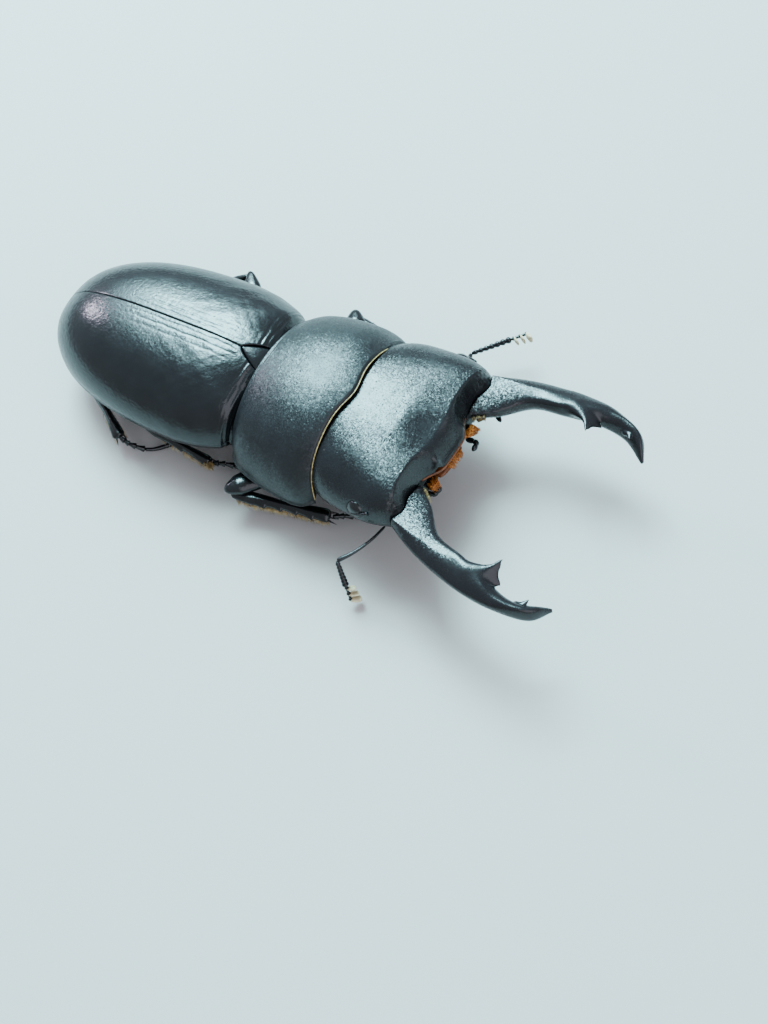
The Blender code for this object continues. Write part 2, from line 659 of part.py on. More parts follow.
def make_leg(beetle, looks, name, body):
    kind = name.split("_")[0]
    side = 1 if name.endswith("left") else -1
    hip, knee, ankle, tarsus = LEGS[name]
    ellipsoid(beetle, "coxa_" + name, hip, COXA_SIZE[kind], looks["black"])
    socket(beetle, body, hip, COXA_SIZE[kind])

    hip, knee, ankle = Vector(hip), Vector(knee), Vector(ankle)
    out = (knee - hip).normalized()
    start = hip + out * (reach_of(COXA_SIZE[kind], out) + GAP)
    rings = tube_rings([start, knee + out * KNEE_ROUND], femur_section(FEMUR_HALF[kind]), 7, 8)
    femur = loft(beetle, "femur_" + name, rings, looks["black"])

    hinge = knee - Vector((0, 0, KNEE_DROP[kind]))
    shin = (ankle - hinge).normalized()
    top = hinge + shin * 0.2
    half = TIBIA_HALF[kind]
    outward = 1 if (shin.cross(Vector((0, 0, 1))).y * side) > 0 else -1
    section = tibia_section(half, TIBIA_TEETH[kind], outward)
    tibia_rings = tube_rings([top, ankle], section, 10, 8)
    loft(beetle, "tibia_" + name, tibia_rings, looks["black"])

    def grown(t):
        return half[0] * (0.6 + 0.4 * min(1.0, 5 * t)) + GAP

    room = tube_rings([top - shin * 0.6, ankle], round_bar(grown), 4, 8, end=0.35)
    notch = loft(beetle, "knee_room_" + name, room, None, cutter=True)
    beetle.boolean(femur, notch, "DIFFERENCE")

    route = [ankle + shin * (GAP + 0.15), *tarsus]
    foot_rings = tube_rings(route, tarsus_section, 13, 6, lowest=0.0)
    foot = loft(beetle, "tarsus_" + name, foot_rings, looks["black"])
    tip = Vector(tarsus[-1])
    ahead = (tip - Vector(tarsus[-2])).normalized()
    spread = ahead.cross(Vector((0, 0, 1))).normalized()
    for hand in (1, -1):
        way = (ahead + spread * 0.7 * hand).normalized()
        hook = [tip - ahead * 0.3, tip + way * CLAW_LENGTH * 0.6 + Vector((0, 0, 0.12)),
                tip + way * CLAW_LENGTH * 0.85 - Vector((0, 0, 0.22))]
        claw = loft(beetle, f"claw_{hand + 2}_{name}",
                    tube_rings(hook, round_bar(lambda t: 0.24 * (1 - 0.7 * t)), 4, 4, lowest=0.06), None,
                    cutter=True)
        beetle.boolean(foot, claw, "UNION")


def main():
    clear_scene()
    beetle = Beetle()
    looks = {
        "black": new_material("black_shell", BLACK, 0.32),
        "under": new_material("underside", UNDERSIDE, 0.38),
        "eye": new_material("eye", GLOSSY_EYE, 0.15),
        "amber": new_material("amber_fringe", AMBER, 0.5),
    }
    make_head(beetle, looks)
    make_mandibles(beetle, looks)
    make_mouth(beetle, looks)
    make_antennae(beetle, looks)
    prothorax = make_prothorax(beetle, looks)
    make_elytra(beetle, looks)
    make_scutellum(beetle, looks)
    chest = make_trunk(beetle, looks)
    for name in LEGS:
        make_leg(beetle, looks, name, prothorax if name.startswith("fore") else chest)


main()
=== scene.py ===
"""The finished look of the stag beetle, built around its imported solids.

Sizes are in millimetres in the beetle's own frame, as in the CAD script: x forward from the
rear edge of the pronotum, y to the left, z up from the floor. The head, the prothorax and the
mandibles are made in frames of their own, which turn a little, and every mesh ends in metres in
the model's frame. Chance comes from seeded generators, so each run gives the same model.
"""

import math

import bmesh
import bpy
import numpy as np
from mathutils import Euler, Matrix, Vector


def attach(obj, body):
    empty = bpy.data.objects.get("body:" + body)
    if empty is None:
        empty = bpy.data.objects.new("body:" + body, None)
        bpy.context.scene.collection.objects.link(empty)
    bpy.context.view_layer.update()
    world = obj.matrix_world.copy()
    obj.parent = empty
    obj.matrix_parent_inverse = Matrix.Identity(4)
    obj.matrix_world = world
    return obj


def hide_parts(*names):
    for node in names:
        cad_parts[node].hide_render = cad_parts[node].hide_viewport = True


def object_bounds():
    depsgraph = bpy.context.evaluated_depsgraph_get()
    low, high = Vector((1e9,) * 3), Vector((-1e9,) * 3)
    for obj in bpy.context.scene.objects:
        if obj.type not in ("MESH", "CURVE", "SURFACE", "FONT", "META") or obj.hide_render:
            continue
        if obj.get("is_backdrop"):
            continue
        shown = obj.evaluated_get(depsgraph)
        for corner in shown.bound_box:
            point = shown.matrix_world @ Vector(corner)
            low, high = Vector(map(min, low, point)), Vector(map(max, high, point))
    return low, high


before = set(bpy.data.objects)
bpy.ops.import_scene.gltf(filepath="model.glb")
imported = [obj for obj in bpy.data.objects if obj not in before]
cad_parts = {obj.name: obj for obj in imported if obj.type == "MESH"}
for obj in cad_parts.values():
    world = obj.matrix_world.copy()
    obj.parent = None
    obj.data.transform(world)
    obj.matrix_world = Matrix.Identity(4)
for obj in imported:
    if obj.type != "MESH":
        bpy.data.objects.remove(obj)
CAD_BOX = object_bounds()

MM = 0.001
BOX_CENTRE = (4.95, 1.25, 0.0)
SIDES = ((1, "left"), (-1, "right"))
UP = np.array([0.0, 0.0, 1.0])

# ---- sizes shared with the CAD
NECK, NECK_SHIFT, HEAD_TURN = (11.5, 0.0, 9.0), (0.0, 0.25, 0.0), (-1.7, -5.0, -4.1)
HEAD_REAR, TEMPLE_FROM, HEAD_WIDEST, HEAD_FRONT = 9.6, 11.2, 18.2, 22.1
HEAD_TOP, HEAD_MARGIN, HEAD_BOTTOM = 13.5, 8.2, 4.2
HEAD_FRONT_TOP, HEAD_FALL = 8.8, 1.5
NECK_HALF, TEMPLE_HALF, HEAD_FRONT_HALF = 10.2, 11.7, 10.75
EYE, EYE_SIZE = (18.1, 10.6, 9.0), (1.3, 1.05, 1.25)

WAIST, PROTHORAX_TURN = (5.0, 0.0, 0.0), (0.0, 0.0, -3.0)
PRONOTUM_LENGTH, PRONOTUM_REAR = 11.3, -0.25
PRONOTUM_HALF, PRONOTUM_WIDEST_AT = 12.15, 7.2
PRONOTUM_REAR_HALF, PRONOTUM_FRONT_HALF = 9.6, 10.7
PRONOTUM_TOP, PRONOTUM_MARGIN, PROSTERNUM = 15.0, 6.5, 2.9
PRONOTUM_NARROWING = 1.3
PRONOTUM_CREST, PRONOTUM_FRONT_FALL, PRONOTUM_REAR_FALL = 0.68, 0.5, 1.2

ELYTRA_FRONT, ELYTRA_WIDEST_AT, ELYTRA_LENGTH = 0.6, 9.0, 31.8
ELYTRA_HALF, SHOULDER_HALF, SHOULDER_SLANT = 11.4, 9.0, 0.5
ELYTRA_TOP, ELYTRA_MARGIN, ELYTRA_APEX = 14.35, 7.3, 6.0
ELYTRA_DIP, ELYTRA_DIP_LENGTH = 1.05, 4.0
SCUTELLUM_LENGTH, SCUTELLUM_HALF = 2.9, 1.8
UNDER_ELYTRA = (1.4, 1.6)
CHEST_FROM, CHEST_TO, CHEST_BOTTOM = 0.95, 12.7, 2.9
ABDOMEN_FROM, ABDOMEN_TO, ABDOMEN_BOTTOM = 13.1, 29.5, 4.3

MANDIBLE_ROOT, MANDIBLE_TURN = (22.6, 8.0, 8.5), (0.0, 0.0, -1.3)
MANDIBLE_OUTER = ((22.6, 10.85), (25.6, 12.25), (29.0, 13.15), (32.6, 13.7), (36.2, 13.6),
                  (39.85, 12.4), (41.3, 10.15))
MANDIBLE_INNER = ((22.6, 5.1), (24.9, 6.8), (27.6, 9.45), (31.2, 10.3), (35.0, 11.35),
                  (38.1, 11.55), (41.1, 9.85))
MANDIBLE_EDGE_Z = (8.9, 8.8, 8.5, 8.2, 7.5, 6.2, 5.35)
MANDIBLE_BELOW = (2.6, 2.5, 2.2, 2.0, 1.8, 1.1, 0.2)
RIDGE_PLACE = (0.9, 0.72, 0.53, 0.28, 0.04, -0.24, -0.5, -0.6, 0.1, 0.33, 0.3, 0.2, 0.0)
RIDGE_Z = (9.45, 9.38, 9.3, 9.22, 9.15, 9.15, 9.15, 8.95, 8.25, 7.9, 7.6, 6.95, 5.6)
TEETH = (
    (((30.2, 11.9, 8.05), (32.3, 11.2, 8.35), (34.0, 10.4, 8.65), (35.05, 8.8, 8.85)), 1.05),
    (((37.9, 12.2, 6.75), (38.7, 11.7, 7.05), (39.15, 10.85, 7.35)), 0.7),
)
PLATE_ROUTE = ((32.0, 11.7, 8.1), (33.9, 11.2, 8.1), (35.45, 9.95, 8.05))
PLATE_SPAN = (-0.45, -0.95, 0.75)
PLATE_THICK, PLATE_EDGE, PLATE_HOLLOW = 0.95, 0.1, 0.35

LEGS = {
    "fore_right": ((6.9, -4.4, 3.6), (0.1, -13.2, 4.6), (12.1, -10.4, 2.6),
                   ((13.5, -9.3, 1.8), (16.1, -7.6, 0.6), (19.1, -6.4, 0.36))),
    "fore_left": ((6.9, 4.4, 3.6), (1.6, 15.0, 4.7), (14.0, 11.4, 2.6),
                  ((15.4, 10.4, 1.7), (17.2, 8.6, 0.6), (20.0, 6.9, 0.36))),
    "mid_right": ((-5.4, -3.6, 3.2), (-15.0, -9.5, 3.8), (-4.8, -10.2, 2.7),
                  ((-2.9, -9.4, 2.2), (-0.6, -8.4, 0.7), (2.4, -7.4, 0.36))),
    "mid_left": ((-5.4, 3.6, 3.2), (-14.3, 15.2, 4.6), (-22.0, 11.0, 1.7),
                 ((-23.4, 10.3, 1.1), (-25.2, 9.5, 0.5), (-28.2, 8.4, 0.36))),
    "hind_right": ((-12.4, -3.5, 3.4), (-25.4, -6.8, 2.9), (-17.2, -11.9, 2.8),
                   ((-15.6, -12.1, 2.3), (-13.8, -11.0, 0.7), (-11.4, -8.4, 0.36))),
    "hind_left": ((-12.4, 3.5, 3.4), (-25.4, 6.8, 2.9), (-18.4, 10.4, 2.7),
                  ((-17.0, 10.6, 2.0), (-15.4, 9.6, 0.7), (-13.0, 7.2, 0.36))),
}
COXA_SIZE = {"fore": (2.3, 2.6, 1.9), "mid": (2.1, 2.2, 1.7), "hind": (1.6, 2.7, 1.3)}
FEMUR_HALF = {"fore": (1.5, 1.0), "mid": (1.25, 0.8), "hind": (1.2, 0.8)}
TIBIA_HALF = {"fore": (0.8, 0.55), "mid": (0.6, 0.5), "hind": (0.65, 0.5)}
KNEE_DROP = {"fore": 0.9, "mid": 0.4, "hind": 0.4}
KNEE_ROUND = 0.4
TIBIA_TEETH = {"fore": 5, "mid": 2, "hind": 1}
TARSUS_HALF, CLAW_LENGTH = 0.42, 1.5

ANTENNA = {
    "right": ((20.3, -9.9, 5.4), (19.8, -12.1, 5.3), (18.9, -14.2, 5.2), (17.7, -15.9, 5.0),
              (19.5, -17.6, -0.3)),
    "left": ((20.3, 9.9, 5.4), (18.2, 12.0, 4.9), (16.5, 14.1, 4.2), (15.5, 16.1, 3.5),
             (20.7, 21.4, 4.2)),
}
ANTENNA_HALF = 0.27
GAP = 0.3

# ---- sizes of the looks alone
CROWN_RISE = 0.25
DROP_AT_EDGE = 0.894  # how far the smooth step has come at the front edge of the head
FRONT_DIP, CLYPEUS_TUBERCLE, CORNER_ROUGHNESS = 0.75, 0.75, 0.05
BROW = ((19.8, 11.25, 9.60), (19.2, 11.55, 9.40), (18.6, 11.74, 9.25), (17.9, 11.80, 9.15))
COLLAR_RADIUS = 0.075

WING_CASE_THICK, RIPPLE, LUMPS = 0.55, 0.013, 0.016
# Grooves beside the suture: distance from it, width, depth, and which way they sway.
STRIAE = ((0.62, 0.12, 0.030, 1), (1.35, 0.14, 0.030, -1), (2.2, 0.18, 0.016, 1))
WAIST_SIDE, WAIST_HEIGHT, WAIST_LEVEL = 7.8, 3.6, 7.8
ABDOMEN_SEGMENTS = 5

# The mandible's skin, and how far from a horn's middle its root is blended in.
VOXEL, SOFTEN_ROUNDS = 0.07, 7
BLEND_ROUNDS, BLEND_FROM, BLEND_TO = 60, 1.0, 1.8

LABRUM_FROM, LABRUM_TO, LABRUM_HALF, LABRUM_LEVEL = 22.2, 23.3, 2.3, 6.4
MENTUM_FROM, MENTUM_TO, MENTUM_HALF, MENTUM_RISE = 18.0, 21.2, 3.4, 0.06
MENTUM_TOP, MENTUM_LOW = 4.1, 3.75
PALPS = {
    ("maxillary", "left"): ((21.8, 7.2, 4.6), (22.9, 8.95, 4.6), (24.4, 8.2, 4.6)),
    ("labial", "left"): ((22.2, 4.3, 4.8), (23.55, 4.1, 5.2), (23.85, 2.9, 5.3)),
    ("maxillary", "right"): ((21.8, -7.2, 4.6), (22.9, -8.95, 4.6), (24.4, -8.2, 4.6)),
    ("labial", "right"): ((21.9, -4.0, 4.8), (22.8, -3.7, 5.0), (23.1, -2.7, 5.2)),
}

FEELER_BEADS, FEELER_LEAVES, CLUB_LENGTH, BAR_RADIUS = 7, 3, 2.4, 0.17
TARSUS_JOINTS = ((0.0, 0.14), (0.14, 0.28), (0.28, 0.42), (0.42, 0.56), (0.56, 1.0))
TARSUS_BRISTLES = 5

# A hair's points: three at its root, three halfway and its tip, and their places in its patch.
HAIR_POINTS = 7
HAIR_PATCH = 0.003 * np.array([(0, 0), (1, 0), (0.5, 0.5), (0, 0.6), (1, 0.6), (0.5, 0.8),
                               (0.5, 1)])
SHIN_HAIRS, ANKLE_HAIRS, JAW_HAIRS = {"fore": 560, "mid": 170, "hind": 150}, 260, 110
SHIN_HAIR, MOUTH_HAIR, JAW_HAIR = 0.028, 0.06, 0.03
# Tufts in the mouth: x of the roots, their span in y, where they point, lengths and number.
MOUTH_TUFTS = ((22.75, (3.2, 4.9), (24.6, 5.0, 7.1), (0.45, 0.66), 190),
               (22.70, (-4.3, -2.7), (24.6, -4.2, 7.0), (0.42, 0.62), 190),
               (23.0, (-0.9, 1.7), (26.5, 0.2, 5.6), (0.15, 0.26), 200))

# ---- camera and lights
AZIMUTH, ELEVATION, ROLL = 41.9, 61.6, -15.3
CAMERA_AIM, CAMERA_BACK, CAMERA_OFFSET = (5.0, 0.0, 9.0), 123.0, (-8.2, 13.5)
FOCAL_PIXELS, FRAME_PIXELS, SENSOR = 1067.0, 1024.0, 36.0
LIGHT_AIM = (8.0, 0.0, 10.0)
SKY = (-0.412, 0.457, 0.788)
# Each light's direction from the beetle, distance in metres, size in metres, watts and colour.
LIGHTS = {
    "sky_core": (SKY, 0.5, (0.20, 0.24), 4.9, (0.51, 0.93, 1.0)),
    "sky_halo": (SKY, 0.52, (0.40, 0.46), 3.9, (0.57, 0.92, 1.0)),
    "front_fill": ((0.75, -0.35, 0.56), 0.5, (0.5, 0.5), 1.2, (0.90, 0.90, 1.0)),
    "low_rear": ((-0.876, 0.194, 0.441), 0.5, (0.07, 0.07), 0.5, (0.88, 0.82, 1.0)),
}
WORLD_COLOUR, WORLD_STRENGTH = (0.86, 0.93, 1.0, 1.0), 0.58
FLOOR_SIZE, FLOOR_COLOUR = 3.0, (0.51, 0.495, 0.485)


# ---- frames
def turn_matrix(angles):
    return np.array(Euler([math.radians(angle) for angle in angles]).to_matrix())


def turned(points, angles, zero, shift=(0.0, 0.0, 0.0)):
    zero = np.array(zero)
    return (points - zero) @ turn_matrix(angles).T + zero + np.array(shift)


def to_beetle(points, where):
    """Points of a turning frame, in the beetle's frame."""
    points = np.asarray(points, dtype=float)
    if where == "prothorax":
        return turned(points, PROTHORAX_TURN, WAIST)
    if where in ("mandible_left", "mandible_right"):
        side = 1 if where.endswith("left") else -1
        points = turned(points, MANDIBLE_TURN, np.array(MANDIBLE_ROOT) * (1, side, 1))
        where = "head"
    if where == "head":
        return turned(points, HEAD_TURN, NECK, NECK_SHIFT)
    return points


def to_model(points, where=None):
    return (to_beetle(points, where) - np.array(BOX_CENTRE)) * MM


# ---- curves and grids
def spline(knots, t):
    """A smooth curve through evenly spaced knots, read at the array t (Catmull-Rom)."""
    points = np.array(knots, dtype=float)
    last = len(points) - 1
    place = np.clip(np.asarray(t, dtype=float), 0.0, 1.0) * last
    first = np.minimum(place.astype(int), last - 1)
    part = place - first
    if points.ndim > 1:
        part = part[..., None]
    points = np.concatenate([[2 * points[0] - points[1]], points, [2 * points[-1] - points[-2]]])
    before, near, far, after = (points[first + number] for number in range(4))
    slope_near, slope_far = (far - before) / 2, (after - near) / 2
    rise = far - near
    return (near + slope_near * part + (3 * rise - 2 * slope_near - slope_far) * part ** 2
            + (slope_near + slope_far - 2 * rise) * part ** 3)


def arch(f, power, root):
    """1 in the middle, 0 where f is -1 or 1."""
    return np.maximum(0.0, 1 - np.minimum(np.abs(f), 1.0) ** power) ** root


def bump(x, centre, width):
    """A smooth hill of height 1."""
    return np.exp(-((x - centre) / width) ** 2)


def step_up(x, low, high):
    t = np.clip((x - low) / (high - low), 0.0, 1.0)
    return t * t * (3 - 2 * t)


def circle(count):
    """Evenly spaced angles round a section."""
    return np.linspace(0, 2 * math.pi, count, endpoint=False)


def unit(v):
    return v / np.maximum(np.linalg.norm(v, axis=-1, keepdims=True), 1e-12)


def square_to(a, b):
    """The direction at right angles to both."""
    return unit(np.cross(a, b))


def stacked(x, y, z):
    return np.stack(np.broadcast_arrays(x, y, z), axis=-1)


def grid_normals(points, closed=True):
    """Normals of a grid whose columns may close, pointing away from each row's middle."""
    if closed:
        across = np.roll(points, -1, 1) - np.roll(points, 1, 1)
    else:
        across = np.gradient(points, axis=1)
    normals = square_to(np.gradient(points, axis=0), across)
    out = points - points.mean(axis=1, keepdims=True)
    return -normals if np.sum(normals * out) < 0 else normals


def row_lengths(points):
    """Distance along each row from its first column."""
    steps = np.linalg.norm(np.diff(points, axis=1), axis=2)
    return np.concatenate([np.zeros((len(points), 1)), np.cumsum(steps, axis=1)], axis=1)


def grid_faces(rows, columns):
    """Faces of a grid whose columns close."""
    here = np.arange(rows * columns).reshape(rows, columns)
    after = np.roll(here, -1, axis=1)
    return np.stack([here[:-1], after[:-1], after[1:], here[1:]], axis=-1).reshape(-1, 4).tolist()


def loft_shape(points):
    """Vertices and faces of a closed loft; a middle point closes each end."""
    rows, columns = points.shape[:2]
    vertices = points.reshape(-1, 3)
    faces = grid_faces(rows, columns)
    first, last = len(vertices), len(vertices) + 1
    ends = np.array([points[0].mean(axis=0), points[-1].mean(axis=0)])
    base = (rows - 1) * columns
    for column in range(columns):
        after = (column + 1) % columns
        faces.append([first, after, column])
        faces.append([last, base + column, base + after])
    return np.concatenate([vertices, ends]), faces


def joined(shapes):
    """One list of vertices and faces from many."""
    vertices, faces, start = [], [], 0
    for shape_vertices, shape_faces in shapes:
        vertices.append(np.asarray(shape_vertices))
        faces.extend([[index + start for index in face] for face in shape_faces])
        start += len(shape_vertices)
    return np.concatenate(vertices), faces


def tube(path, section, count, sides, start=0.0, end=1.0, lowest=-math.inf):
    """A loft about a path: section(t, angle) gives the offsets to its side and above it."""
    t = np.linspace(start, end, count)
    ahead = spline(path, np.minimum(t + 0.02, 1.0)) - spline(path, np.maximum(t - 0.02, 0.0))
    side = square_to(ahead, UP)
    over = square_to(side, ahead)
    across, up = section(t[:, None], circle(sides)[None, :])
    points = spline(path, t)[:, None] + side[:, None] * across[..., None]
    points = points + over[:, None] * up[..., None]
    points[..., 2] = np.maximum(points[..., 2], lowest)
    return loft_shape(points)


def rod(path, radius, count, sides, high=1.0, **limits):
    """A tube whose half width is radius(t), and whose half height is high times that."""
    def section(t, angle):
        return radius(t) * np.cos(angle), high * radius(t) * np.sin(angle)
    return tube(path, section, count, sides, **limits)


def ball(centre, radii, rows=24, columns=32, axes=np.eye(3)):
    """Vertices and faces of an ellipsoid, whose radii lie along the axes."""
    lift = np.linspace(0.02, math.pi - 0.02, rows)[:, None]
    angle = circle(columns)[None, :]
    grid = stacked(np.sin(lift) * np.cos(angle), np.sin(lift) * np.sin(angle), np.cos(lift))
    return loft_shape(np.array(centre) + grid * np.array(radii) @ axes)


# ---- materials
class Look:
    """A material, with the means to add nodes to it."""

    def __init__(self, name, colour, roughness):
        self.material = bpy.data.materials.new(name)
        self.material.use_nodes = True
        tree = self.material.node_tree
        self.nodes, self.link = tree.nodes, tree.links.new
        self.shader = self.nodes["Principled BSDF"].inputs
        self.shader["Base Color"].default_value = (*colour, 1.0)
        self.shader["Roughness"].default_value = roughness
        self.place = self.add("TexCoord", {})["Object"]

    def add(self, kind, inputs, operation=None):
        """The outputs of a new node, whose inputs are numbers or other nodes' outputs."""
        node = self.nodes.new("ShaderNode" + kind)
        if operation:
            node.operation = operation
        for name, value in inputs.items():
            if isinstance(value, bpy.types.NodeSocket):
                self.link(value, node.inputs[name])
            else:
                node.inputs[name].default_value = value
        return node.outputs

    def noise(self, size, detail=2.0, roughness=0.5):
        """Noise whose lumps are about size millimetres across."""
        return self.add("TexNoise", {"Scale": 1 / (size * MM), "Detail": detail,
                                     "Roughness": roughness, "Vector": self.place})["Fac"]

    def cells(self, size):
        return self.add("TexVoronoi", {"Scale": 1 / (size * MM), "Vector": self.place})

    def remap(self, value, low, high, to_low, to_high):
        return self.add("MapRange", {"From Min": low, "From Max": high, "To Min": to_low,
                                     "To Max": to_high, "Value": value})["Result"]

    def vector_math(self, operation, *inputs):
        return self.add("VectorMath", dict(enumerate(inputs)), operation=operation)["Vector"]

    def relief(self, height, distance, before=None):
        """A bump whose full height is distance millimetres."""
        inputs = {"Distance": distance * MM, "Strength": 1.0, "Height": height}
        if before is not None:
            inputs["Normal"] = before
        normal = self.add("Bump", inputs)["Normal"]
        self.link(normal, self.shader["Normal"])
        return normal

    def sparkle(self, size, amount, before, fade=None, rare=False):
        """Tiny facets, all or only a rare few, each leaning its own way, that glitter."""
        flakes = self.cells(size)
        lean = self.vector_math("SUBTRACT", flakes["Color"], (0.5, 0.5, 0.5))
        if rare:
            lot = self.add("TexWhiteNoise", {"Vector": flakes["Position"]})["Value"]
            fade = self.remap(lot, RARE_FROM, RARE_FROM + 0.001, 0.0, 1.0)
        share = (amount,) * 3 if fade is None else self.remap(fade, 0.0, 1.0, 0.0, amount)
        total = self.vector_math("MULTIPLY_ADD", lean, share, before)
        normal = self.vector_math("NORMALIZE", total)
        self.link(normal, self.shader["Normal"])
        return normal

    def tint(self, value, dark, light):
        ramp = self.nodes.new("ShaderNodeValToRGB")
        for stop, place, tone in zip(ramp.color_ramp.elements, (0.3, 0.72), (dark, light)):
            stop.position = place
            stop.color = (*tone, 1.0)
        self.link(value, ramp.inputs["Fac"])
        self.link(ramp.outputs["Color"], self.shader["Base Color"])


RARE_FROM = 0.965
SPECULAR = 0.62
SHELL_DARK, SHELL_LIGHT = (0.008, 0.009, 0.0105), (0.012, 0.0135, 0.016)
# Black shells: the material's name, dark and light tone, roughness, size and height of the grain,
# size and height of the pits, lean of the many facets, and what is particular to it.
SHELLS = {
    "head": ("shell_grained", SHELL_DARK, SHELL_LIGHT, (0.245, 0.30), (0.20, 0.014),
             (0.36, 0.010), 0.13, {"rare_lean": 0.34}),
    "pronotum": ("shell_pronotum", SHELL_DARK, SHELL_LIGHT, (0.34, 0.42), (0.20, 0.014),
                 (0.36, 0.010), 0.17, {"rare_lean": 0.34}),
    "elytra": ("shell_smooth", (0.008, 0.009, 0.0102), (0.012, 0.013, 0.015), (0.20, 0.27),
               (0.42, 0.034), (0.50, 0.008), 0.05, {}),
    "mandible": ("shell_mandible", (0.0085, 0.0085, 0.010), (0.012, 0.0115, 0.014),
                 (0.24, 0.30), (0.20, 0.010), (0.34, 0.010), 0.23, {"smooth_from": (25.5, 31.5)}),
    "leg": ("shell_leg", (0.007, 0.0075, 0.0085), (0.012, 0.0125, 0.014), (0.18, 0.26),
            (0.26, 0.010), (0.40, 0.012), 0.07, {}),
    "under": ("underside", (0.010, 0.008, 0.007), (0.018, 0.014, 0.012), (0.32, 0.42),
              (0.30, 0.014), (0.50, 0.016), 0.1, {"specular": 0.5}),
}
# Hair and skin: the material's name, colour, roughness, size and detail of its mottling, its dark
# and light tone, and the height of its relief.
SOFT_LOOKS = {
    "amber": ("amber_hair", (0.55, 0.22, 0.05), 0.25, (0.16, 2.0), (0.14, 0.035, 0.008),
              (0.85, 0.35, 0.10), 0),
    "golden": ("golden_hair", (0.45, 0.33, 0.15), 0.4, (0.6, 2.0), (0.22, 0.15, 0.07),
               (0.60, 0.46, 0.24), 0),
    "pale": ("pale_felt", (0.62, 0.52, 0.36), 0.75, (0.09, 3.0), (0.42, 0.33, 0.20),
             (0.78, 0.68, 0.50), 0.02),
    "membrane": ("neck_membrane", (0.40, 0.29, 0.13), 0.38, (0.35, 3.0), (0.22, 0.15, 0.06),
                 (0.62, 0.47, 0.23), 0.02),
    "amber_skin": ("amber_skin", (0.30, 0.10, 0.03), 0.35, (0.4, 3.0), (0.10, 0.030, 0.010),
                   (0.26, 0.09, 0.03), 0.02),
}
SLOTS = {"eye": "eye", "under": "underside", **dict.fromkeys(SOFT_LOOKS, "amber_fringe")}


def shell_material(name, dark, light, roughness, grain, pit, lean, rare_lean=0.0,
                   smooth_from=None, specular=SPECULAR):
    """Black shell: a fine leathery grain, scattered pits, and a faint change of tone."""
    look = Look(name, dark, roughness[0])
    look.tint(look.noise(3.5, 3.0), dark, light)
    look.link(look.remap(look.noise(1.4, 3.0), 0.3, 0.7, *roughness), look.shader["Roughness"])
    first = look.relief(look.noise(grain[0], 2.0, 0.6), grain[1])
    pits = look.remap(look.cells(pit[0])["Distance"], 0.0, 0.35, 0.0, 1.0)
    second = look.relief(pits, pit[1], first)
    fade = None
    if smooth_from is not None:
        start, end = ((value - BOX_CENTRE[0]) * MM for value in smooth_from)
        forward = look.add("SeparateXYZ", {"Vector": look.place})["X"]
        fade = look.remap(forward, start, end, 1.0, 0.18)
    coarse = look.sparkle(0.29, 0.45 * lean, second, fade)
    fine = look.sparkle(0.125, lean, coarse, fade)
    if rare_lean:
        look.sparkle(0.15, rare_lean, fine, rare=True)
    look.shader["Specular IOR Level"].default_value = specular
    return look.material


def soft_material(name, colour, roughness, mottling, dark, light, height):
    look = Look(name, colour, roughness)
    tone = look.noise(*mottling)
    look.tint(tone, dark, light)
    if height:
        look.relief(tone, height)
    return look.material


def eye_material():
    look = Look("eye_facets", (0.006, 0.006, 0.007), 0.12)
    look.relief(look.cells(0.05)["Distance"], 0.006)
    look.tint(look.noise(0.6), (0.005, 0.005, 0.006), (0.012, 0.010, 0.010))
    look.shader["Coat Weight"].default_value = 0.5
    look.shader["Coat Roughness"].default_value = 0.05
    return look.material


LOOKS = {name: shell_material(*values, **more) for name, (*values, more) in SHELLS.items()}
LOOKS["eye"] = eye_material()
LOOKS.update({name: soft_material(*values) for name, values in SOFT_LOOKS.items()})


# ---- pieces
def new_object(name, data):
    thing = bpy.data.objects.new(name, data)
    bpy.context.scene.collection.objects.link(thing)
    return thing


def add_piece(name, shape, look, where=None, replaces=()):
    """A mesh in the model's frame that rides on the body and stands for its solids."""
    vertices, faces = shape
    mesh = bpy.data.meshes.new(name)
    mesh.from_pydata(to_model(vertices, where).tolist(), [], faces)
    mesh.update()
    piece = new_object(name, mesh)
    mesh.materials.append(LOOKS[look])
    mesh.shade_smooth()
    face_out(mesh)
    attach(piece, "root")
    if replaces:
        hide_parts(*replaces)
    return piece


def face_out(mesh):
    shape = bmesh.new()
    shape.from_mesh(mesh)
    bmesh.ops.recalc_face_normals(shape, faces=shape.faces)
    shape.to_mesh(mesh)
    shape.free()


def ring_steps(top_count, bottom_count):
    """Fractions of the half width round a section: over the top, then back underneath."""
    top = np.cos(np.linspace(0, math.pi, top_count))
    bottom = np.cos(np.linspace(math.pi, 2 * math.pi, bottom_count + 2))[1:-1]
    return top, bottom


def plate_steps(top_count, bottom_count):
    """Those fractions in one row, and which of them are on top."""
    f = np.concatenate(ring_steps(top_count, bottom_count))[None, :]
    return f, np.arange(f.size)[None, :] < top_count


def arched(half, margin, top, bottom, above, below, counts):
    """y and z round sections that rise over their margin to top, and fall under it to bottom."""
    top_f, bottom_f = ring_steps(*counts)
    over = margin + (top - margin) * arch(top_f, *above)
    under = margin - (margin - bottom) * arch(bottom_f, *below) + 0 * top
    return np.concatenate([top_f, bottom_f]) * half, np.concatenate([over, under], axis=-1)


# ---- head
def head_half(x):
    spread = TEMPLE_HALF - NECK_HALF
    half = NECK_HALF + spread * (1 - np.exp(-np.maximum(x - TEMPLE_FROM, 0.0) / 1.6))
    past = np.maximum(x - HEAD_WIDEST, 0.0) / (HEAD_FRONT - HEAD_WIDEST)
    return half - (TEMPLE_HALF - HEAD_FRONT_HALF) * past ** 2


def head_front(y):
    clypeus = 1.6 / (1 + (np.abs(y) / 3.5) ** 6)
    return HEAD_FRONT + clypeus + 0.65 * bump(np.abs(y), 9.1, 1.3)


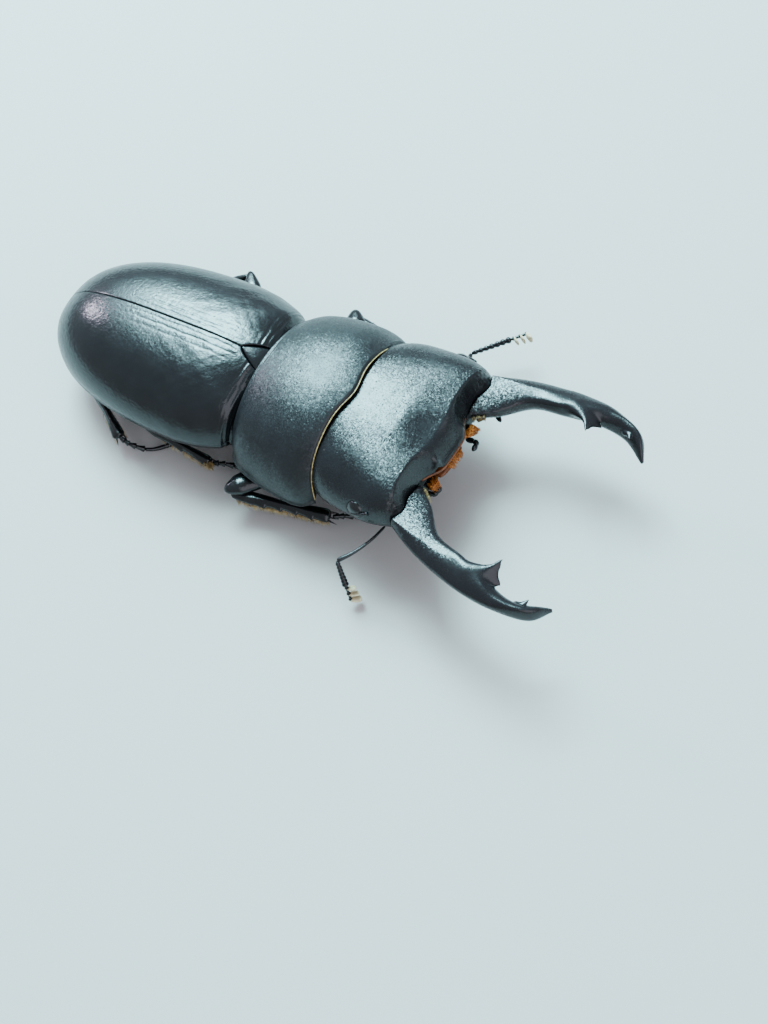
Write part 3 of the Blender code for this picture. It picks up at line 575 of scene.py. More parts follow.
def head_grid(rows=170, top_count=221, bottom_count=99):
    u = np.sin(np.linspace(0, math.pi / 2, rows))[:, None]
    top_f, bottom_f = ring_steps(top_count, bottom_count)
    half = head_half(HEAD_REAR + u * (HEAD_FRONT - HEAD_REAR))

    y = top_f[None] * half
    front = head_front(y)
    x = HEAD_REAR + u * (front - HEAD_REAR)
    run = front - x
    crest = 0.55 + 0.6 * np.maximum(0.0, front - HEAD_FRONT)
    drop = ((1 - step_up(run, -0.35 * crest, 1.35 * crest)) / DROP_AT_EDGE) ** 1.5
    height = HEAD_TOP + CROWN_RISE * (1 - u ** 2) - HEAD_FALL * u ** 2 - HEAD_MARGIN
    crown = HEAD_MARGIN + height * arch(top_f[None], 2.4 + 3.6 * u ** 3, 0.5)
    edge = HEAD_MARGIN + (HEAD_FRONT_TOP - HEAD_MARGIN) * arch(top_f[None], 6, 0.5)
    z = crown + (edge - crown) * drop
    z = z - FRONT_DIP * step_up(x, 17.8, 22.4) * bump(y, -0.7, 3.3) * (1 - drop)
    z = z + CLYPEUS_TUBERCLE * bump(x, 23.25, 0.34) * bump(np.abs(y), 2.6, 0.42)
    top = stacked(x, y, z)

    y = bottom_f[None] * half
    x = HEAD_REAR + u * (head_front(y) - HEAD_REAR)
    bottom = HEAD_BOTTOM + 1.0 * u ** 2
    z = HEAD_MARGIN - (HEAD_MARGIN - bottom) * arch(bottom_f[None], 3, 0.6)
    middle = 1 / (1 + (np.abs(y) / 4.6) ** 8)
    x = x - u ** 6 * middle * (0.35 + 0.7 * np.maximum(0.0, HEAD_MARGIN - z))
    return np.concatenate([top, stacked(x, y, z)], axis=1)


def reach_of(points, centre, radii):
    """1 on the surface of an ellipsoid, less inside it."""
    return np.sqrt(np.sum(((points - np.array(centre)) / np.array(radii)) ** 2, axis=-1))


def head_relief(points):
    """The front rim, its thick and rough corners, and the groove round each eye."""
    x, y, z = np.moveaxis(points, -1, 0)
    upper = step_up(z, HEAD_MARGIN - 0.2, HEAD_MARGIN + 0.5)
    run = head_front(y) - x
    height = 0.05 * bump(run, 0.12, 0.14) * upper
    for side, _ in SIDES:
        height = height + 0.16 * bump(run, 0.25, 0.28) * bump(y, side * 9.3, 1.6) * upper
        reach = reach_of(points, np.array(EYE) * (1, side, 1), EYE_SIZE)
        height = height - 0.30 * step_up(-reach, -1.10, -1.0) - 0.20 * bump(reach, 1.08, 0.06)
    rough = (np.sin(9.0 * x + 4.0 * y) * np.sin(7.0 * y - 5.0 * x)
             * np.sin(11.0 * x - 2.0 * y + 1.0))
    corner = bump(run, 0.9, 1.0) * bump(np.abs(y), 9.0, 1.6) * upper
    return height + CORNER_ROUGHNESS * rough * corner


def make_head():
    points = head_grid()
    points = points + grid_normals(points) * head_relief(points)[..., None]
    add_piece("head_shell", loft_shape(points), "head", "head", ["head"])
    for side, name in SIDES:
        lens = ball((EYE[0], side * (EYE[1] + 0.20), EYE[2]), EYE_SIZE, 40, 56)
        add_piece("eye_lens_" + name, lens, "eye", "head", ["eye_" + name])
        brow = np.array(BROW) * (1, side, 1)
        ridge = rod(brow, lambda t: 0.20 - 0.10 * t, 30, 16, 1.2, end=0.99)
        add_piece("eye_canthus_" + name, ridge, "leg", "head")


# ---- prothorax
def pronotum_half(x):
    past = np.maximum(x - PRONOTUM_WIDEST_AT, 0) / (PRONOTUM_LENGTH - PRONOTUM_WIDEST_AT)
    front = PRONOTUM_HALF - (PRONOTUM_HALF - PRONOTUM_FRONT_HALF) * past ** 2
    short = np.maximum(PRONOTUM_WIDEST_AT - x, 0) / PRONOTUM_WIDEST_AT
    corner = PRONOTUM_HALF - PRONOTUM_REAR_HALF - PRONOTUM_NARROWING
    corner = corner * np.exp(-np.maximum(x - PRONOTUM_REAR, 0.0) / 0.8)
    rear = PRONOTUM_HALF - PRONOTUM_NARROWING * short ** 2 - corner
    return np.where(x > PRONOTUM_WIDEST_AT, front, rear)


def pronotum_front(y):
    lobe = 0.65 * bump(y, 0, 2.4)
    return PRONOTUM_LENGTH - 0.30 + lobe + 0.8 * (np.abs(y) / PRONOTUM_FRONT_HALF) ** 10


def prothorax_grid(rows, counts):
    u = ((1 - np.cos(np.linspace(0, math.pi, rows))) / 2)[:, None]
    half = pronotum_half(PRONOTUM_REAR + u * (PRONOTUM_LENGTH - PRONOTUM_REAR))
    ahead = u > PRONOTUM_CREST
    past = (u - PRONOTUM_CREST) / np.where(ahead, 1 - PRONOTUM_CREST, PRONOTUM_CREST)
    top = PRONOTUM_TOP - np.where(ahead, PRONOTUM_FRONT_FALL, PRONOTUM_REAR_FALL) * past ** 2
    y, z = arched(half, PRONOTUM_MARGIN, top, PROSTERNUM, (1.9 + 0.5 * u, 0.5), (1.6, 1.8),
                  counts)
    return stacked(PRONOTUM_REAR + u * (pronotum_front(y) - PRONOTUM_REAR), y, z)


def neck_rings(xs, counts, room):
    """Sections of the head's neck, grown by room, as the prothorax's frame sees them."""
    y, z = arched(NECK_HALF + room, HEAD_MARGIN, HEAD_TOP + CROWN_RISE + room,
                  HEAD_BOTTOM - room, (2.4, 0.5), (3, 0.6), counts)
    rings = to_beetle(stacked(np.array(xs)[:, None], y, z), "head")
    return (rings - WAIST) @ turn_matrix(PROTHORAX_TURN) + WAIST


def edge_bead(distance, height, width):
    """A raised bead along a margin, with a fine groove inside it."""
    bead = height * bump(distance, width * 1.2, width)
    return bead - 0.45 * height * bump(distance, width * 3.4, width)


def make_prothorax(counts=(241, 119)):
    points = prothorax_grid(150, counts)
    normals = grid_normals(points)
    upper = points[:, :counts[0]]
    along = row_lengths(upper)
    side_distance = np.minimum(along, along[:, -1:] - along)
    rear_distance = row_lengths(upper.swapaxes(0, 1)).T
    front_distance = rear_distance[-1:] - rear_distance
    rear_lines = 0.022 * np.cos(rear_distance * 6.28 / 0.30)
    rear_lines = rear_lines * (1 - step_up(rear_distance, 0.5, 1.0))
    height = np.maximum(edge_bead(side_distance, 0.22, 0.15),
                        edge_bead(rear_distance, 0.10, 0.12) + rear_lines)
    upper += normals[:, :counts[0]] * height[..., None]
    upper[..., 2] -= 0.16 * bump(front_distance, 0.0, 0.13)
    front = points[-1]
    lip = neck_rings((11.2, 10.6, 10.0, 9.5, 9.3), counts, GAP * 0.7)
    inside = front + 0.25 * unit(lip[0] - front) + np.array([-0.14, 0.0, 0.0])
    lip[0][:, 0] = np.minimum(lip[0][:, 0], front[:, 0] - 0.35)
    for row in range(1, len(lip)):
        lip[row][:, 0] = np.minimum(lip[row][:, 0], lip[row - 1][:, 0] - 0.15)
    points = np.concatenate([points, inside[None], lip], axis=0)
    add_piece("pronotum", loft_shape(points), "pronotum", "prothorax", ["prothorax"])
    make_collar(front[:counts[0]])


def make_collar(front):
    """The thin pale membrane along the front edge of the pronotum."""
    path = front[6:-6] + np.array([0.05, 0.0, -0.10])
    along = unit(np.gradient(path, axis=0))
    side = square_to(along, np.array([1.0, 0.0, 0.0]))
    over = square_to(side, along)
    angle = circle(10)
    ring = path[:, None] + COLLAR_RADIUS * (0.8 * side[:, None] * np.cos(angle)[None, :, None]
                                            + over[:, None] * np.sin(angle)[None, :, None])
    add_piece("collar_membrane", loft_shape(ring), "membrane", "prothorax")


# ---- elytra, scutellum, trunk
def past_widest(back):
    return np.maximum(back - ELYTRA_WIDEST_AT, 0) / (ELYTRA_LENGTH - ELYTRA_WIDEST_AT)


def elytra_half(back):
    turn = np.sin(math.pi / 2 * np.minimum(back, ELYTRA_WIDEST_AT) / ELYTRA_WIDEST_AT)
    front = SHOULDER_HALF + (ELYTRA_HALF - SHOULDER_HALF) * turn ** 0.8
    rear = ELYTRA_HALF * np.maximum(0.0, 1 - past_widest(back) ** 2.25) ** 0.4545
    return np.where(back < ELYTRA_WIDEST_AT, front, rear)


def elytra_heights(back):
    t = past_widest(back)
    margin = ELYTRA_MARGIN + (ELYTRA_APEX - ELYTRA_MARGIN) * t ** 3
    top = ELYTRA_APEX + 0.2
    top = top + (ELYTRA_TOP - top) * np.maximum(0.0, 1 - t ** 4.1) ** 0.59
    return margin, top - ELYTRA_DIP * bump(back, 0.0, ELYTRA_DIP_LENGTH)


def scutellum_notch(back):
    part = 1 - (back - ELYTRA_FRONT) / SCUTELLUM_LENGTH
    return SCUTELLUM_HALF * np.clip(part, 0.0, 1.0) ** 0.65


def elytron_surface(side, rows=300, columns=170):
    """Outer face of one wing case, from the suture to the side margin."""
    fore = int(rows * 0.4)
    start = np.linspace(0, 1, fore, endpoint=False)
    start = 0.05 + (ELYTRA_WIDEST_AT - 0.05) * (0.5 * start + 0.5 * start ** 2)
    end = np.sin(np.radians(np.linspace(0, 89.3, rows - fore)))
    end = ELYTRA_WIDEST_AT + (ELYTRA_LENGTH - ELYTRA_WIDEST_AT) * end
    backs = np.concatenate([start, end])[:, None]
    column = np.linspace(0, 1, columns)[None, :]
    column = np.sin(math.pi / 2 * column) * 0.6 + 0.4 * column
    half = elytra_half(backs)
    inner = np.minimum(0.02 + scutellum_notch(backs), half * 0.5)
    slant = SHOULDER_SLANT * np.maximum(0.0, 1 - backs / ELYTRA_WIDEST_AT)
    y = inner + (half - inner) * column
    f = y / half
    margin, top = elytra_heights(backs)
    z = margin + (top - margin) * arch(f, 2.15 + 0.35 * step_up(backs, 4.0, 22.0), 0.52)
    return stacked(-backs - slant * f ** 2, side * y, z), backs, y


def elytron_relief(points, backs, y, waves):
    """Grooves beside the suture, a bead along the margin, and the wrinkled, dented base."""
    along = row_lengths(points)
    fade = step_up(backs, 3.0, 4.5) * (1 - step_up(backs, 13.0, 21.0))
    sway = 0.05 * np.sin(backs * 1.3) + 0.03 * np.sin(backs * 3.1)
    height = -fade * sum(depth * bump(along + way * sway, place, width)
                         for place, width, depth, way in STRIAE)
    height = height + edge_bead(along[:, -1:] - along, 0.13, 0.15)
    height = height - 0.05 * bump(along, 0.0, 0.07)
    ripple = sum(np.sin(y * fy * 2.0 + backs * fb * 5.0 + phase) for fy, fb, phase in waves)
    height = height + RIPPLE * ripple * (1 - step_up(backs, 0.8, 2.9))
    height = height - 1.1 * np.exp(-(backs / 0.95) ** 1.5) * step_up(y, 0.0, 1.5)
    height = height - 0.16 * bump(backs, 1.6, 1.5) * bump(y, 4.4, 1.6)
    height = height + 0.16 * bump(backs, 2.6, 1.9) * bump(y, 7.2, 1.4)
    lumps = (np.sin(y * 1.9 + 0.4 * backs + 1.0) * np.sin(backs * 1.25 + 0.5 * y)
             + 0.6 * np.sin(y * 3.7 - 1.1 * backs) * np.sin(backs * 2.3 + 1.9))
    return height + LUMPS * lumps * (1 - step_up(backs, 9.0, 16.0))


def make_elytra():
    random = np.random.default_rng(7)
    waves = random.uniform((-0.9, 0.9, 0), (0.9, 2.6, 6.28), (9, 3))
    for side, name in SIDES:
        points, backs, y = elytron_surface(side)
        normals = grid_normals(points, closed=False)
        if normals[100, 40, 2] < 0:
            normals = -normals
        outer = points + normals * elytron_relief(points, backs, y, waves)[..., None]
        inner = points - normals * WING_CASE_THICK
        inner[..., 2] = np.maximum(inner[..., 2], points[:, -1:, 2] - 0.25)
        inner[..., 2] = np.minimum(inner[..., 2], outer[..., 2] - 0.2)
        rows, columns = points.shape[:2]
        shell = np.concatenate([outer, inner[:, ::-1]], axis=1)
        faces = grid_faces(rows, 2 * columns)
        for base in (0, (rows - 1) * 2 * columns):
            for column in range(columns - 1):
                far = 2 * columns - 1 - column
                faces.append([base + column, base + column + 1, base + far - 1, base + far])
        add_piece("wing_case_" + name, (shell.reshape(-1, 3), faces), "elytra", None,
                  ["elytron_" + name])


def make_scutellum():
    backs = np.linspace(0.05, ELYTRA_FRONT + SCUTELLUM_LENGTH - 0.12, 60)[:, None]
    f, upper = plate_steps(61, 29)
    half = np.maximum(scutellum_notch(backs) - 0.05, 0.03)
    top = elytra_heights(backs)[1] - 0.05 - 0.75 * np.exp(-(backs / 1.1) ** 1.6)
    z = np.where(upper, top - 0.45 + 0.45 * arch(f, 2.6, 0.5), top - 0.6 - 0.2 * arch(f, 2, 0.5))
    add_piece("scutellum_plate", loft_shape(stacked(-backs, f * half, z)), "elytra", None,
              ["scutellum"])


def trunk_grid(backs, bottom, under):
    """Sections under the wing cases, down to bottom, rounded below as under says."""
    side_room, top_room = UNDER_ELYTRA
    backs = backs[:, None]
    margin, top = elytra_heights(backs)
    y, z = arched(elytra_half(backs) - side_room, margin, top - top_room, bottom[:, None],
                  (2.6, 0.55), under, (61, 119))
    return stacked(-backs, y, z)


def make_trunk():
    backs = np.linspace(CHEST_FROM, CHEST_TO, 90)
    part = (backs - CHEST_FROM) / (CHEST_TO - CHEST_FROM)
    points = trunk_grid(backs, CHEST_BOTTOM + 0.8 * (1 - part) ** 4, (1.8, 1.3))
    x, y, z = np.moveaxis(points, -1, 0)
    low = step_up(-z, -6.0, -5.0)
    height = -0.16 * bump(y, 0, 0.12) * low
    height = height - 0.22 * low * bump(x + 8.9 - 0.12 * np.abs(y), 0, 0.16)
    for hip in ("mid_right", "mid_left", "hind_right", "hind_left"):
        radii = np.array(COXA_SIZE[hip.split("_")[0]]) + 0.25
        height = height - 0.7 * step_up(-reach_of(points, LEGS[hip][0], radii), -1.1, -0.8)
    points = points + grid_normals(points) * height[..., None]
    add_piece("chest_plates", loft_shape(points), "under", None, ["chest"])

    backs = np.linspace(ABDOMEN_FROM, ABDOMEN_TO + 0.9, 150)
    t = (backs - ABDOMEN_FROM) / (ABDOMEN_TO - ABDOMEN_FROM)
    segment = t * ABDOMEN_SEGMENTS % 1.0
    lip = 0.30 * bump(segment, 1.0, 0.10) - 0.22 * np.exp(-segment / 0.05)
    close = np.maximum(t - 0.9, 0) * 9
    points = trunk_grid(backs, ABDOMEN_BOTTOM + 1.6 * t ** 4 - 0.5 * lip + close, (2.4, 0.75))
    points[..., 1] *= (1 - 0.25 * np.maximum(t - 0.95, 0) / 0.1)[:, None]
    add_piece("abdomen_plates", loft_shape(points), "under", None, ["abdomen"])


def make_waist():
    """The soft waist between the prothorax and the chest."""
    angle = circle(60)[None, :]
    x = np.linspace(0.5, -1.3, 19)[:, None]
    fold = 1 - 0.05 * bump(x, -0.4, 0.35)
    rings = stacked(x, WAIST_SIDE * fold * np.cos(angle),
                    WAIST_LEVEL + WAIST_HEIGHT * fold * np.sin(angle))
    add_piece("waist_membrane", loft_shape(rings), "under")


# ---- mandibles and mouth
def mandible_grid(side, rows=260, sides=160):
    t = np.linspace(0, 1, rows)
    outer, inner = spline(MANDIBLE_OUTER, t), spline(MANDIBLE_INNER, t)
    edge, below, ridge, ridge_z = (spline(knots, t)[:, None] for knots in
                                   (MANDIBLE_EDGE_Z, MANDIBLE_BELOW, RIDGE_PLACE, RIDGE_Z))
    middle, half = (outer + inner) / 2, (outer - inner) / 2
    t = t[:, None]
    place, rise = np.cos(circle(sides))[None, :], np.sin(circle(sides))[None, :]
    outside = place > ridge
    away = np.abs(place - ridge) / np.where(outside, 1.0001 - ridge, 1.0001 + ridge)
    blade = step_up(t, 0.18, 0.40) * (1 - step_up(t, 0.62, 0.76))
    power = np.where(outside, 1.7, 1.7 + 1.9 * blade) + 0.6 * step_up(t, 0.68, 0.78)
    above = (ridge_z - edge) * arch(away, power, 0.62)
    x = middle[:, :1] + half[:, :1] * place
    y = middle[:, 1:] + half[:, 1:] * place
    x = x + (head_front(y) + 0.12 - MANDIBLE_OUTER[0][0]) * np.maximum(0.0, 1 - 6 * t)
    lean = np.where(outside, 0.38 * (1 - step_up(t, 0.50, 0.70)),
                    0.34 * (1 - step_up(t, 0.18, 0.40))) * away ** 1.15
    return stacked(x, side * y, edge - lean + np.where(rise > 0, above, below * rise))


def horn(route, radius, side):
    def taper(t):
        return radius * (1 - 0.96 * t ** 1.3) * np.minimum(1.0, 0.35 + 3.2 * t) ** 0.7
    return rod(np.array(route) * (1, side, 1), taper, 50, 36, 0.8)


def tooth_plate(side, rows=40, sides=64):
    """The plate below the main tooth, thin and a little hollow along its front edge."""
    t = np.linspace(0, 1, rows)
    centre = spline(PLATE_ROUTE, t)
    ahead = unit(spline(PLATE_ROUTE, np.minimum(t + 0.02, 1)) - spline(PLATE_ROUTE, t - 0.02))
    span = np.array(PLATE_SPAN)
    thick = PLATE_THICK * (1 - t) ** 0.8 + PLATE_EDGE
    across = square_to(ahead, span) * thick[:, None]
    cos, sin = np.cos(circle(sides))[None, :, None], np.sin(circle(sides))[None, :, None]
    back = PLATE_HOLLOW * (t[:, None, None] * sin) ** 2
    points = centre[:, None] + span * cos + across[:, None] * sin - ahead[:, None] * back
    return loft_shape(points * (1, side, 1))


def evaluated(piece):
    """Puts the result of a piece's modifiers in its mesh."""
    graph = bpy.context.evaluated_depsgraph_get()
    mesh = bpy.data.meshes.new_from_object(piece.evaluated_get(graph))
    piece.modifiers.clear()
    old = piece.data
    piece.data = mesh
    bpy.data.meshes.remove(old)


def blend_horn(piece, route, side, where):
    """Smooths the skin round the root of a horn, and leaves its tip sharp."""
    mesh = piece.data
    count = len(mesh.vertices)
    points = np.empty(3 * count)
    mesh.vertices.foreach_get("co", points)
    points = points.reshape(-1, 3)
    ends = np.empty(2 * len(mesh.edges), dtype=np.int32)
    mesh.edges.foreach_get("vertices", ends)
    first, second = ends.reshape(-1, 2).T
    neighbours = np.bincount(first, minlength=count) + np.bincount(second, minlength=count)
    path = to_model(spline(np.array(route) * (1, side, 1), np.linspace(0, 0.6, 12)), where)
    near = np.min(np.linalg.norm(points[:, None] - path[None], axis=2), axis=1) / MM
    weight = 0.6 * (1 - step_up(near, BLEND_FROM, BLEND_TO))
    for _ in range(BLEND_ROUNDS):
        for here in points.T:
            total = np.bincount(first, here[second], count)
            total = total + np.bincount(second, here[first], count)
            here += weight * (total / neighbours - here)
    mesh.vertices.foreach_set("co", points.ravel())
    mesh.update()


def make_mandibles():
    for side, name in SIDES:
        where = "mandible_" + name
        shapes = [loft_shape(mandible_grid(side)), tooth_plate(side)]
        shapes += [horn(route, radius, side) for route, radius in TEETH]
        piece = add_piece("jaw_" + name, joined(shapes), "mandible", where, [where])
        remesh = piece.modifiers.new("one_skin", "REMESH")
        remesh.mode = "VOXEL"
        remesh.voxel_size = VOXEL * MM
        remesh.use_smooth_shade = True
        smooth = piece.modifiers.new("soften", "SMOOTH")
        smooth.factor = 0.5
        smooth.iterations = SOFTEN_ROUNDS
        evaluated(piece)
        for route in (TEETH[0][0], PLATE_ROUTE):
            blend_horn(piece, route, side, where)


def palp_radius(t):
    return (0.24 + 0.11 * np.sin(math.pi * (t * 3 % 1.0)) ** 0.7) * arch(t, 9, 0.5)


def make_mouth():
    f, upper = plate_steps(31, 29)
    level = arch(f, 4, 0.5)
    x = np.linspace(LABRUM_FROM, LABRUM_TO, 12)[:, None]
    rise = level * arch((x - LABRUM_FROM) / 1.12, 3, 0.5)
    z = np.where(upper, LABRUM_LEVEL + 0.4 * rise, LABRUM_LEVEL - 0.5 * rise)
    points = stacked(x - 0.35 * np.abs(f) ** 3, f * LABRUM_HALF, z)
    add_piece("labrum_plate", loft_shape(points), "amber_skin", "head", ["labrum"])
    x = np.linspace(MENTUM_FROM, MENTUM_TO, 40)[:, None]
    z = np.where(upper, MENTUM_TOP, MENTUM_LOW - 0.35 * level) - GAP
    z = z + MENTUM_RISE * (x - MENTUM_FROM)
    points = stacked(x, f * (MENTUM_HALF + 0.5 * np.sin(x - MENTUM_FROM)), z)
    add_piece("mentum_plate", loft_shape(points), "under", "head", ["mentum"])
    for (kind, side), path in PALPS.items():
        add_piece(f"{kind}_palp_joints_{side}", rod(path, palp_radius, 61, 16, end=0.995), "leg",
                  "head", [f"{kind}_palp_{side}"])


# ---- antennae
def scape_radius(t):
    return ANTENNA_HALF * (0.55 + 0.6 * t ** 3) * arch(2 * t - 1, 14, 0.5)


def make_antennae():
    for side, route in ANTENNA.items():
        scape = rod(route[:4], scape_radius, 70, 20, start=0.005, end=0.995)
        add_piece("feeler_scape_" + side, scape, "leg", "head", ["antenna_scape_" + side])
        elbow, end = np.array(route[3]), np.array(route[4])
        away = unit(end - elbow)
        start = elbow + away * 0.15
        length = np.linalg.norm(end - start)
        out = square_to(away, UP)
        out = out if out[0] > 0 else -out
        stem = length - CLUB_LENGTH
        beads, leaves = [], []
        for number in range(FEELER_BEADS):
            near = start + away * stem * number / FEELER_BEADS
            far = start + away * stem * (number + 1.06) / FEELER_BEADS

            def swell(t, size=1.0 + 0.07 * number):
                return size * (0.17 + 0.12 * np.sin(math.pi * np.clip(t, 0, 1) ** 1.6) ** 0.8)
            beads.append(rod([near, far], swell, 18, 18))
        bar = [start + away * stem, end - away * 0.25]
        beads.append(rod(bar, lambda t: BAR_RADIUS + 0 * t, 12, 14))
        for number in range(FEELER_LEAVES):
            last = number == FEELER_LEAVES - 1
            root = start + away * (length - 0.30 - 0.80 * (2 - number))
            reach, width = 1.15 + 0.10 * number, 0.46 + 0.06 * number
            leaves.append(feeler_leaf(root, out, away, reach, width, last))
            axes = np.stack([out, square_to(away, out), away])
            beads.append(ball(root - away * 0.12, (0.26, 0.26, 0.16), 16, 24, axes))
        add_piece("feeler_beads_" + side, joined(beads), "leg", "head", ["antenna_club_" + side])
        add_piece("feeler_leaves_" + side, joined(leaves), "pale", "head")


def feeler_leaf(root, out, away, reach, width, last):
    """A paddle that stands out from the stem and leans towards its end."""
    s = np.linspace(0, 1, 26)[:, None, None]
    angle = circle(24)[None, :, None]
    across = square_to(out, away)
    wide = width * (0.35 + 0.65 * np.sin(math.pi * (0.08 + 0.62 * s))) * arch(2 * s - 1, 8, 0.5)
    thick = (0.30 if last else 0.17) * (0.6 + 0.4 * np.sin(math.pi * s)) * arch(2 * s - 1, 8, 0.5)
    middle = root + out * (reach * s - 0.1) + away * (0.22 * s ** 1.5)
    return loft_shape(middle + across * wide * np.cos(angle) + away * thick * np.sin(angle))


# ---- legs
def spindle(half):
    def section(t, angle):
        end = (1 - 0.5 * np.maximum(0.0, t - 0.82) / 0.18) * arch(2 * t - 1, 16, 0.5)
        swell = np.sin(math.pi * (0.15 + t * 0.7))
        wide = half[0] * end * (0.5 + 0.5 * swell)
        high = half[1] * end * (0.55 + 0.45 * swell)
        return wide * np.cos(angle), high * np.sin(angle)
    return section


def shin(half, teeth, outward):
    """A flattened bar with four soft keels, and pointed teeth along its outer edge."""
    def section(t, angle):
        width = half[0] * (0.6 + 0.4 * np.minimum(1.0, 5 * t) - 0.3 * bump(t, 0.55, 0.25))
        height = half[1] * (0.75 + 0.25 * np.minimum(1.0, 3 * t))
        close = arch(2 * t - 1, 26, 0.5)
        keel = 1 + 0.06 * np.cos(4 * angle)
        c = np.cos(angle)
        out = np.clip(c * outward, 0, 1) ** 6
        point = (np.clip((t - 0.2) / 0.8, 0, 1) * teeth % 1.0) ** 2.5
        width = width * keel + 0.42 * half[0] * point * out
        across = width * np.sign(c) * np.abs(c) ** 0.8
        return across * close, height * keel * np.sin(angle) * close
    return section


def spike(base, tip, radius, rows=9, sides=8):
    middle = (base + tip) / 2 + (0, 0, 0.03)
    return rod([base, middle, tip], lambda t: radius * (1 - 0.97 * t), rows, sides, lowest=0.0)


def tarsus_shapes(route, random):
    """Four short bell-shaped joints and a long one, with bristles under the short ones."""
    shapes = []
    for near, far in TARSUS_JOINTS:
        def bell(t, near=near, far=far):
            s = (t - near) / (far - near)
            flare = 0.36 if far == 1.0 else 0.50
            return TARSUS_HALF * (0.52 + flare * s ** 1.6) * arch(2 * s - 1, 18, 0.5)
        shapes.append(rod(route, bell, 16, 20, start=near + 0.004, end=far - 0.002, lowest=0.0))
    for _, far in TARSUS_JOINTS[:-1]:
        place = spline(route, np.array([far - 0.01]))[0]
        ahead = spline(route, np.array([min(far + 0.05, 1.0)]))[0] - place
        for _ in range(TARSUS_BRISTLES):
            lean = random.normal(0, 0.16, 3)
            tip = place + unit(ahead) * 0.45 + lean - (0, 0, 0.3)
            shapes.append(spike(place - (0, 0, 0.15), tip, 0.035, 5, 5))
    return shapes


def claw_shapes(route):
    """Two curved claws."""
    tip = route[-1]
    ahead = unit(tip - route[-2])
    spread = square_to(ahead, UP)
    shapes = []
    for side, _ in SIDES:
        way = unit(ahead + spread * 0.7 * side)
        path = [tip - ahead * 0.3, tip + way * 0.45 + (0, 0, 0.10),
                tip + way * CLAW_LENGTH * 0.7 + (0, 0, 0.06),
                tip + way * CLAW_LENGTH * 0.88 - (0, 0, 0.24)]
        shapes.append(rod(path, lambda t: 0.22 * (1 - 0.93 * t), 20, 14, lowest=0.02))
    return shapes


def make_leg(name, random):
    kind = name.split("_")[0]
    side = 1 if name.endswith("left") else -1
    hip, knee, ankle = (np.array(point, dtype=float) for point in LEGS[name][:3])
    radii = COXA_SIZE[kind]
    out = unit(knee - hip)
    start = hip + out * (np.linalg.norm(np.array(radii) * out) + 0.05)
    bar = spindle(FEMUR_HALF[kind])
    thigh = tube([start, knee + out * KNEE_ROUND], bar, 70, 40, 0.002, 0.998)

    hinge = knee - np.array([0, 0, KNEE_DROP[kind]])
    down = unit(ankle - hinge)
    top = hinge + down * 0.2
    half = TIBIA_HALF[kind]
    outward = 1 if np.cross(down, UP)[1] * side > 0 else -1
    bar = shin(half, TIBIA_TEETH[kind], outward)
    shapes = [tube([top, ankle], bar, 130, 36, 0.001, 0.999)]
    across = square_to(down, UP) * outward
    over = square_to(across, down)
    over = over if over[2] > 0 else -over
    for spread, length in ((0.75, 1.25), (0.2, 1.0), (-0.55, 1.1)):
        base = ankle + across * half[0] * spread - down * 0.25
        tip = base + down * length + across * spread * 0.35 - over * 0.15
        shapes.append(spike(base, tip, 0.14))

    route = [ankle + down * 0.25, *[np.array(point) for point in LEGS[name][3]]]
    foot = tarsus_shapes(route, random) + claw_shapes(route)
    for piece, node, shape in (("hip_", "coxa_", ball(hip, radii, 36, 48)),
                               ("thigh_", "femur_", thigh), ("shin_", "tibia_", joined(shapes)),
                               ("foot_", "tarsus_", joined(foot))):
        add_piece(piece + name, shape, "leg", None, [node + name])
    make_shin_hairs(name, (top, ankle), (across, over, down), random)


# ---- hair
def hair(root, way, length, radius, bend):
    """A thin three-sided blade."""
    way = unit(way)
    side = square_to(way, np.array([0.3, 0.2, 1.0]))
    over = np.cross(side, way)
    vertices = []
    for s, share in ((0.0, 1.0), (0.5, 0.75)):
        middle = root + way * length * s + bend * s * s
        for angle in circle(3):
            out = side * math.cos(angle) + over * math.sin(angle)
            vertices.append(middle + radius * share * out)
    vertices.append(root + way * length + bend)
    faces = [[0, 2, 1], [3, 4, 6], [4, 5, 6], [5, 3, 6]]
    faces += [[turn, (turn + 1) % 3, 3 + (turn + 1) % 3, 3 + turn] for turn in range(3)]
    return np.array(vertices), faces


def add_hairs(name, hairs, look, where=None):
    """Joined hairs, each with its own small patch in the bake's UV map."""
    shapes, patches = zip(*hairs)
    mesh = add_piece(name, joined(shapes), look, where).data
    layer = mesh.uv_layers.new(name="OFBake")
    corner = np.zeros(len(mesh.loops), dtype=int)
    mesh.loops.foreach_get("vertex_index", corner)
    patches = np.clip(patches, 0.0, 0.996)
    uv = patches[corner // HAIR_POINTS] + HAIR_PATCH[corner % HAIR_POINTS]
    layer.data.foreach_set("uv", uv.ravel())


